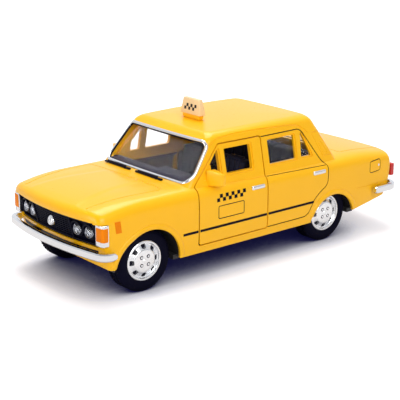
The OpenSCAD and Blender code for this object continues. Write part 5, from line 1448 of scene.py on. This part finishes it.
class TAXI_OT_wheels(bpy.types.Operator):
    """Builds the four tyres and slotted rims"""

    bl_idname = "taxi.wheels"
    bl_label = "Wheels"

    # Profiles of (radius, along) from the wheel's outer face
    WALL = [(5.32, -0.45), (5.5, -0.32), (5.8, -0.22), (6.2, -0.06), (6.7, 0.0), (7.2, -0.08), (7.6, -0.3)]
    RIM = [
        (0, 0.02), (2.6, 0.02), (2.95, -0.02), (3.2, -0.14), (3.95, -0.7), (4.2, -0.8), (4.42, -0.78),
        (4.6, -0.6), (4.7, -0.2), (4.8, -0.09), (5.0, -0.05), (5.15, -0.1), (5.3, -0.25),
        (5.3, -4.2), (0, -4.2),
    ]
    CAP = [(0, -0.02), (0.5, -0.03), (0.62, -0.12), (0.62, -0.3), (0, -0.3)]
    TREAD_BANDS = ((-1.7, -0.85), (-3.55, -2.25), (-4.95, -4.1))

    def execute(self, context):
        for end, y in (("front", FRONT_AXLE), ("rear", REAR_AXLE)):
            for shape, kind, what in (
                (self.tyre(), "rubber", "tyre"),
                # Painted shade: the dark slots piece stands in for the shade in the rim's hollows.
                (self.slots(), "black", "slots"),
                (self.rim(), "silver", "rim"),
            ):
                shape.data.transform(Matrix.Translation((0, y, AXLE_Z)))
                for side, piece in both_sides(shape):
                    name = f"{end}_{side}_{what}"
                    nodes, slot = ([], "base_black") if what == "slots" else ([name], None)
                    finish_piece(piece, f"{name}_fine", kind, f"{end}_wheels", nodes, slot, WHEEL_SHARP)
        return {"FINISHED"}

    def tyre(self):
        """A ring with two grooves and three bands of tread blocks round it."""
        r = TYRE_R - mm("tread")
        half = self.WALL + [(r - 0.25, -0.62), (r, -1.0), (r, -1.75), (r - 0.35, -1.8), (r - 0.35, -2.15)]
        half += [(r, -2.2), (r, -2.7)]
        back = [(a, -TYRE_W - b) for a, b in half[::-1]]
        ring = spin("tyre", half + back + half[:1], 120, WHEEL_OUT)
        count = sizes().blocks
        w = 2 * math.pi * r / count * 0.62 / 2
        blocks = [
            box("block", (WHEEL_OUT + x0, -w, r - 0.1), (WHEEL_OUT + x1, w, TYRE_R - 0.005), 0.04, 1)
            for x0, x1 in self.TREAD_BANDS
        ]
        return join("tyre", [ring, around(join("blocks", blocks), "rubber", count)])

    def rim(self):
        """A dished disc with slots, nuts and a cap."""
        rim = spin("rim", [(a, b - 0.1) for a, b in self.RIM], 128, WHEEL_OUT)
        tool = prism("slot", fillet(SLOT, 0.3), "x", WHEEL_OUT - SLOT_DEPTH, WHEEL_OUT + 1)
        combine(rim, [around(tool, "black", sizes().slots)])
        nut = prism("nut", circle(NUT_AT, NUT_AT, 0.34, 6), "x", WHEEL_OUT - 0.2, WHEEL_OUT + 0.08)
        nuts = around(bevel(nut, 0.06, 1), "silver", sizes().nuts)
        return join("rim", [rim, nuts, spin("cap", self.CAP, 32, WHEEL_OUT + 0.05)])

    def slots(self):
        """Painted shade: the dark floors of the slots and the dark seats round the nuts, standing in for the
        shade in these hollows.
        """
        floor = prism("floor", fillet(grow(SLOT, 0.04), 0.3), "x", WHEEL_OUT - SLOT_DEPTH, WHEEL_OUT - 1.2)
        seat = prism("seat", circle(NUT_AT, NUT_AT, 0.5, 32), "x", WHEEL_OUT - 0.3, WHEEL_OUT - 0.055)
        return join("dark", [around(floor, "black", sizes().slots), around(seat, "black", sizes().nuts)])


class TAXI_OT_interior(bpy.types.Operator):
    """Builds the tub with its seats, the dashboard and the steering wheel"""

    bl_idname = "taxi.interior"
    bl_label = "Interior"

    DIAL = [(0, 0.0), (0.75, 0.0), (0.85, 0.12), (0.95, 0.0), (0.95, -0.3), (0, -0.3)]
    BOSS = [(0, 0.35), (0.6, 0.3), (0.8, 0.1), (0.8, -0.5), (0, -0.5)]

    def execute(self, context):
        tub = [
            box("floor", (-17.4, -21.6, 9.2), (17.4, 8.0, 10.0), 0.1),
            box("bulkhead", (-13.4, -21.6, 9.2), (13.4, -20.8, 18.5), 0.1),
            box("tunnel", (-2.2, -21.6, 9.2), (2.2, 7.5, 11.8), 0.7),
            box("riser", (-12.4, 7.2, 9.2), (12.4, 8.0, 19.0), 0.1),
            box("deck", (-12.4, 7.2, 18.2), (12.4, 22.6, 19.0), 0.1),
            *self.seat(-SEAT_X),
            *self.seat(SEAT_X),
            *self.bench(),
            box("shelf", (-15.0, 21.8, 24.4), (15.0, 26.2, 25.4), 0.4),
        ]
        finish_piece(tub, "interior_moulding", "navy", nodes=["interior_tub"])
        # Painted shade: dark brown linings inside the sides behind the doors darken the cabin as seen through
        # the windows.
        sides = lining([(3.6, 10.6), (18.4, 10.6), (24.0, 17.2), (24.0, 25.0), (3.6, 25.0)], WALL)
        finish_piece([mirrored(sides), sides], "side_linings", "card")
        self.dashboard()
        self.wheel()
        return {"FINISHED"}

    def seat(self, x):
        """A pleated front seat with its head roll."""
        parts = []
        for i in range(5):
            a = x - 5 + 2 * i
            parts.append(box("pleat", (a, -8.4, 9.8), (a + 2, 1.2, 15.3 + 0.08 * (i % 2)), 0.5))
            back = box("pleat", (a, -1.6, 14.0), (a + 2, 1.2, 26.4), 0.6)
            parts.append(self.lean(back, 14.0, SEAT_LEAN))
        head = box("head", (x - 3.0, -1.2, 25.4), (x + 3.0, 1.0, 27.0), 0.6)
        return parts + [self.lean(head, 14.0, SEAT_LEAN)]

    def bench(self):
        """The pleated rear bench."""
        parts = []
        for a in range(-16, 16, 4):
            parts.append(box("pleat", (a, 7.4, 18.6), (a + 4, 19.8, 20.4), 0.6))
            back = box("pleat", (a, 18.2, 19.0), (a + 4, 21.0, 26.2), 0.7)
            parts.append(self.lean(back, 19.0, BENCH_LEAN))
        return parts

    def lean(self, obj, z0, slope):
        """Leans a piece back above a height."""
        shear = Matrix.Identity(4)
        shear[1][2] = slope
        shear[1][3] = -slope * z0
        obj.data.transform(shear)
        return obj

    def dashboard(self):
        """The dashboard's moulding and its two dials."""
        parts = [
            box("roll", (-15.2, -22.3, 21.4), (15.2, -17.6, 25.0), 0.9, 4),
            box("face", (-14.6, -22.0, 18.7), (14.6, -18.6, 22.0), 0.3),
            box("cowl", (-17.3, -22.95, 25.5), (17.3, -19.5, 25.8)),
            box("hood", (1.6, -21.4, 24.0), (12.4, -17.0, 26.1), 0.5, 4),
            box("glovebox", (-12.6, -18.9, 19.4), (-4.6, -17.4, 22.6), 0.15),
        ]
        for x in (-13.6, -1.0, 1.0, 13.4):
            parts.append(box("vent", (x - 0.8, -18.9, 20.2), (x + 0.8, -18.35, 21.2), 0.1))
        finish_piece(parts, "dashboard_moulding", "dash", nodes=["dashboard"])
        dials = []
        for x in (6.6, 9.8):
            dial = spin("dial", self.DIAL, 40)
            dial.data.transform(Matrix.Translation((x, -16.95, 25.0)) @ Matrix.Rotation(math.pi / 2, 4, "Z"))
            dials.append(dial)
        finish_piece(dials, "dashboard_dials", "bright")

    def wheel(self):
        """The steering wheel on its column, in front of the left seat."""
        ring = np.insert(circle(0, 0, 3.1, 64), 0, 0, axis=1)
        parts = [
            sweep("rim", ring, np.tile((1.0, 0, 0), (64, 1)), wire(0.4, 12), True),
            spin("boss", self.BOSS, 32),
            box("spoke", (-0.15, -2.9, -0.3), (0.15, 2.9, 0.3), 0.1),
            box("spoke", (-0.15, -0.3, -2.9), (0.15, 0.3, 0), 0.1),
            prism("column", circle(0, 0, 0.5, 24), "x", -4.4, 0),
        ]
        wheel = join("wheel", parts)
        tilt = Matrix.Rotation(math.radians(-28), 4, "X") @ Matrix.Rotation(math.pi / 2, 4, "Z")
        wheel.data.transform(Matrix.Translation((SEAT_X, -13.8, 22.3)) @ tilt)
        finish_piece(wheel, "steering_wheel_fine", "black", nodes=["steering_wheel"], slot="base_black")


class TAXI_OT_mechanism(bpy.types.Operator):
    """Gives the base, axles, pins, screws and motor their materials"""

    bl_idname = "taxi.mechanism"
    bl_label = "Mechanism"

    KINDS = {
        "base": ["base_plate", "motor_case", "motor_cover"],
        "steel": [
            "hinge_pins", "base_screws", "motor_pins", "left_door_hinge", "right_door_hinge",
            "front_axle", "rear_axle", "mainspring",
        ],
        "nylon": ["axle_gear", "idler_gear", "spring_drum"],
    }

    def execute(self, context):
        for kind, nodes in self.KINDS.items():
            for node in nodes:
                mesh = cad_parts[node].data
                mesh.materials.clear()
                mesh.materials.append(finish(kind))
        return {"FINISHED"}


class TAXI_OT_stage(bpy.types.Operator):
    """Sets the floor, lights, world and camera"""

    bl_idname = "taxi.stage"
    bl_label = "Stage"

    def execute(self, context):
        scene = context.scene
        scene.view_settings.view_transform = "Standard"
        mesh = bpy.data.meshes.new("floor")
        mesh.from_pydata([(-4, -4, 0), (4, -4, 0), (4, 4, 0), (-4, 4, 0)], [], [(0, 1, 2, 3)])
        mesh.materials.append(self.floor_material())
        linked("floor", mesh)
        self.world(scene)
        for name, values in LIGHTS.items():
            self.light(name, *values)
        camera = linked("camera", bpy.data.cameras.new("camera"))
        camera.location = CAMERA_AT
        camera.rotation_euler = self.looking(CAMERA_WAY)
        camera.data.sensor_width = CAMERA_SENSOR
        camera.data.lens = CAMERA_LENS
        camera.data.clip_start = 0.01
        scene.camera = camera
        return {"FINISHED"}

    def looking(self, way):
        """The turn that makes a camera or a light look along a direction."""
        return Vector(way).to_track_quat("-Z", "Y").to_euler()

    def light(self, name, place, target, size, power, colour):
        """A square soft light."""
        data = bpy.data.lights.new(name, "AREA")
        data.size, data.energy, data.color = size, power, colour
        light = linked(name, data)
        light.location = place
        light.rotation_euler = self.looking(Vector(target) - Vector(place))

    def in_view(self, tree, path):
        """1 where the camera sees a surface, straight or through glass."""
        return maths(tree, "MAXIMUM", path.outputs["Is Camera Ray"], path.outputs["Is Transmission Ray"])

    def floor_material(self):
        """A pale floor with a painted shadow under and beside the car, and white further away."""
        material = bpy.data.materials.new("stage_floor")
        material.use_nodes = True
        tree = material.node_tree
        new, link = tree.nodes.new, tree.links.new
        tree.nodes.remove(tree.nodes["Principled BSDF"])
        matt, glow, both = new("ShaderNodeBsdfDiffuse"), new("ShaderNodeEmission"), new("ShaderNodeAddShader")
        shade, path = new("ShaderNodeAmbientOcclusion"), new("ShaderNodeLightPath")
        where, reach = new("ShaderNodeTexCoord"), new("ShaderNodeVectorMath")
        shade.inputs["Distance"].default_value = 0.017
        reach.operation = "LENGTH"
        link(where.outputs["Object"], reach.inputs[0])
        # Painted shadow: the floor's colour and glow darken where the car occludes it.
        open_air = scaled(tree, shade.outputs["AO"], (0.2, 0.75), (0.0, 1.0))
        away = scaled(tree, reach.outputs["Value"], (0.08, 0.5), (0.55, 1.0))
        bounced = maths(tree, "MAXIMUM", open_air, path.outputs["Is Diffuse Ray"])
        link(between(tree, FLOOR_SHADED, FLOOR_OPEN, bounced), matt.inputs["Color"])
        white = maths(tree, "MULTIPLY", away, open_air)
        link(between(tree, GLOW_SHADED, GLOW_OPEN, white), glow.inputs["Color"])
        reflected = maths(tree, "MULTIPLY", path.outputs["Is Glossy Ray"], 0.4)
        link(maths(tree, "MAXIMUM", self.in_view(tree, path), reflected), glow.inputs["Strength"])
        link(matt.outputs[0], both.inputs[0])
        link(glow.outputs[0], both.inputs[1])
        link(both.outputs[0], tree.nodes["Material Output"].inputs["Surface"])
        spread_out(tree)
        return material

    def world(self, scene):
        """A white surround with soft light; reflections see it brightest behind and above the car."""
        scene.world = scene.world or bpy.data.worlds.new("stage")
        scene.world.use_nodes = True
        tree = scene.world.node_tree
        new, link = tree.nodes.new, tree.links.new
        sky, path = tree.nodes["Background"], new("ShaderNodeLightPath")
        where, toward = new("ShaderNodeTexCoord"), new("ShaderNodeVectorMath")
        warm = between(tree, SKY_SEEN, SKY_LIGHT, path.outputs["Is Diffuse Ray"])
        link(warm, sky.inputs["Color"])
        toward.operation = "DOT_PRODUCT"
        toward.inputs[1].default_value = (-0.7, 0.6, 0.4)
        link(where.outputs["Generated"], toward.inputs[0])
        behind = scaled(tree, toward.outputs["Value"], (-0.4, 0.6), (0.3, 1.0))
        reflected = maths(tree, "MULTIPLY", behind, path.outputs["Is Glossy Ray"])
        seen = maths(tree, "MAXIMUM", reflected, self.in_view(tree, path))
        link(maths(tree, "MAXIMUM", seen, 0.22), sky.inputs["Strength"])
        spread_out(tree)


STEPS = (
    TAXI_OT_body,
    TAXI_OT_doors,
    TAXI_OT_glazing,
    TAXI_OT_trim,
    TAXI_OT_front,
    TAXI_OT_bumpers,
    TAXI_OT_tail,
    TAXI_OT_sign,
    TAXI_OT_wipers,
    TAXI_OT_mirrors,
    TAXI_OT_wheels,
    TAXI_OT_interior,
    TAXI_OT_mechanism,
    TAXI_OT_stage,
)


class TAXI_PT_panel(bpy.types.Panel):
    """Sizes, colours and steps of the taxi"""

    bl_idname = "TAXI_PT_panel"
    bl_label = "Taxi"
    bl_space_type = "VIEW_3D"
    bl_region_type = "UI"
    bl_category = "Taxi"

    def draw(self, context):
        layout = self.layout
        for group in (context.scene.taxi_sizes, context.scene.taxi_colours):
            column = layout.column()
            for name in group.__annotations__:
                column.prop(group, name)
        for step in STEPS:
            layout.operator(step.bl_idname)


CLASSES = (TaxiSizes, TaxiColours, *STEPS, TAXI_PT_panel)


def register():
    for cls in CLASSES:
        bpy.utils.register_class(cls)
    bpy.types.Scene.taxi_sizes = bpy.props.PointerProperty(type=TaxiSizes)
    bpy.types.Scene.taxi_colours = bpy.props.PointerProperty(type=TaxiColours)


def unregister():
    del bpy.types.Scene.taxi_colours
    del bpy.types.Scene.taxi_sizes
    for cls in reversed(CLASSES):
        bpy.utils.unregister_class(cls)


def main():
    """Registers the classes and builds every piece."""
    register()
    for step in STEPS:
        group, name = step.bl_idname.split(".")
        getattr(getattr(bpy.ops, group), name)()
    drop(STORE.pop("outer"))


if __name__ == "__main__":
    main()
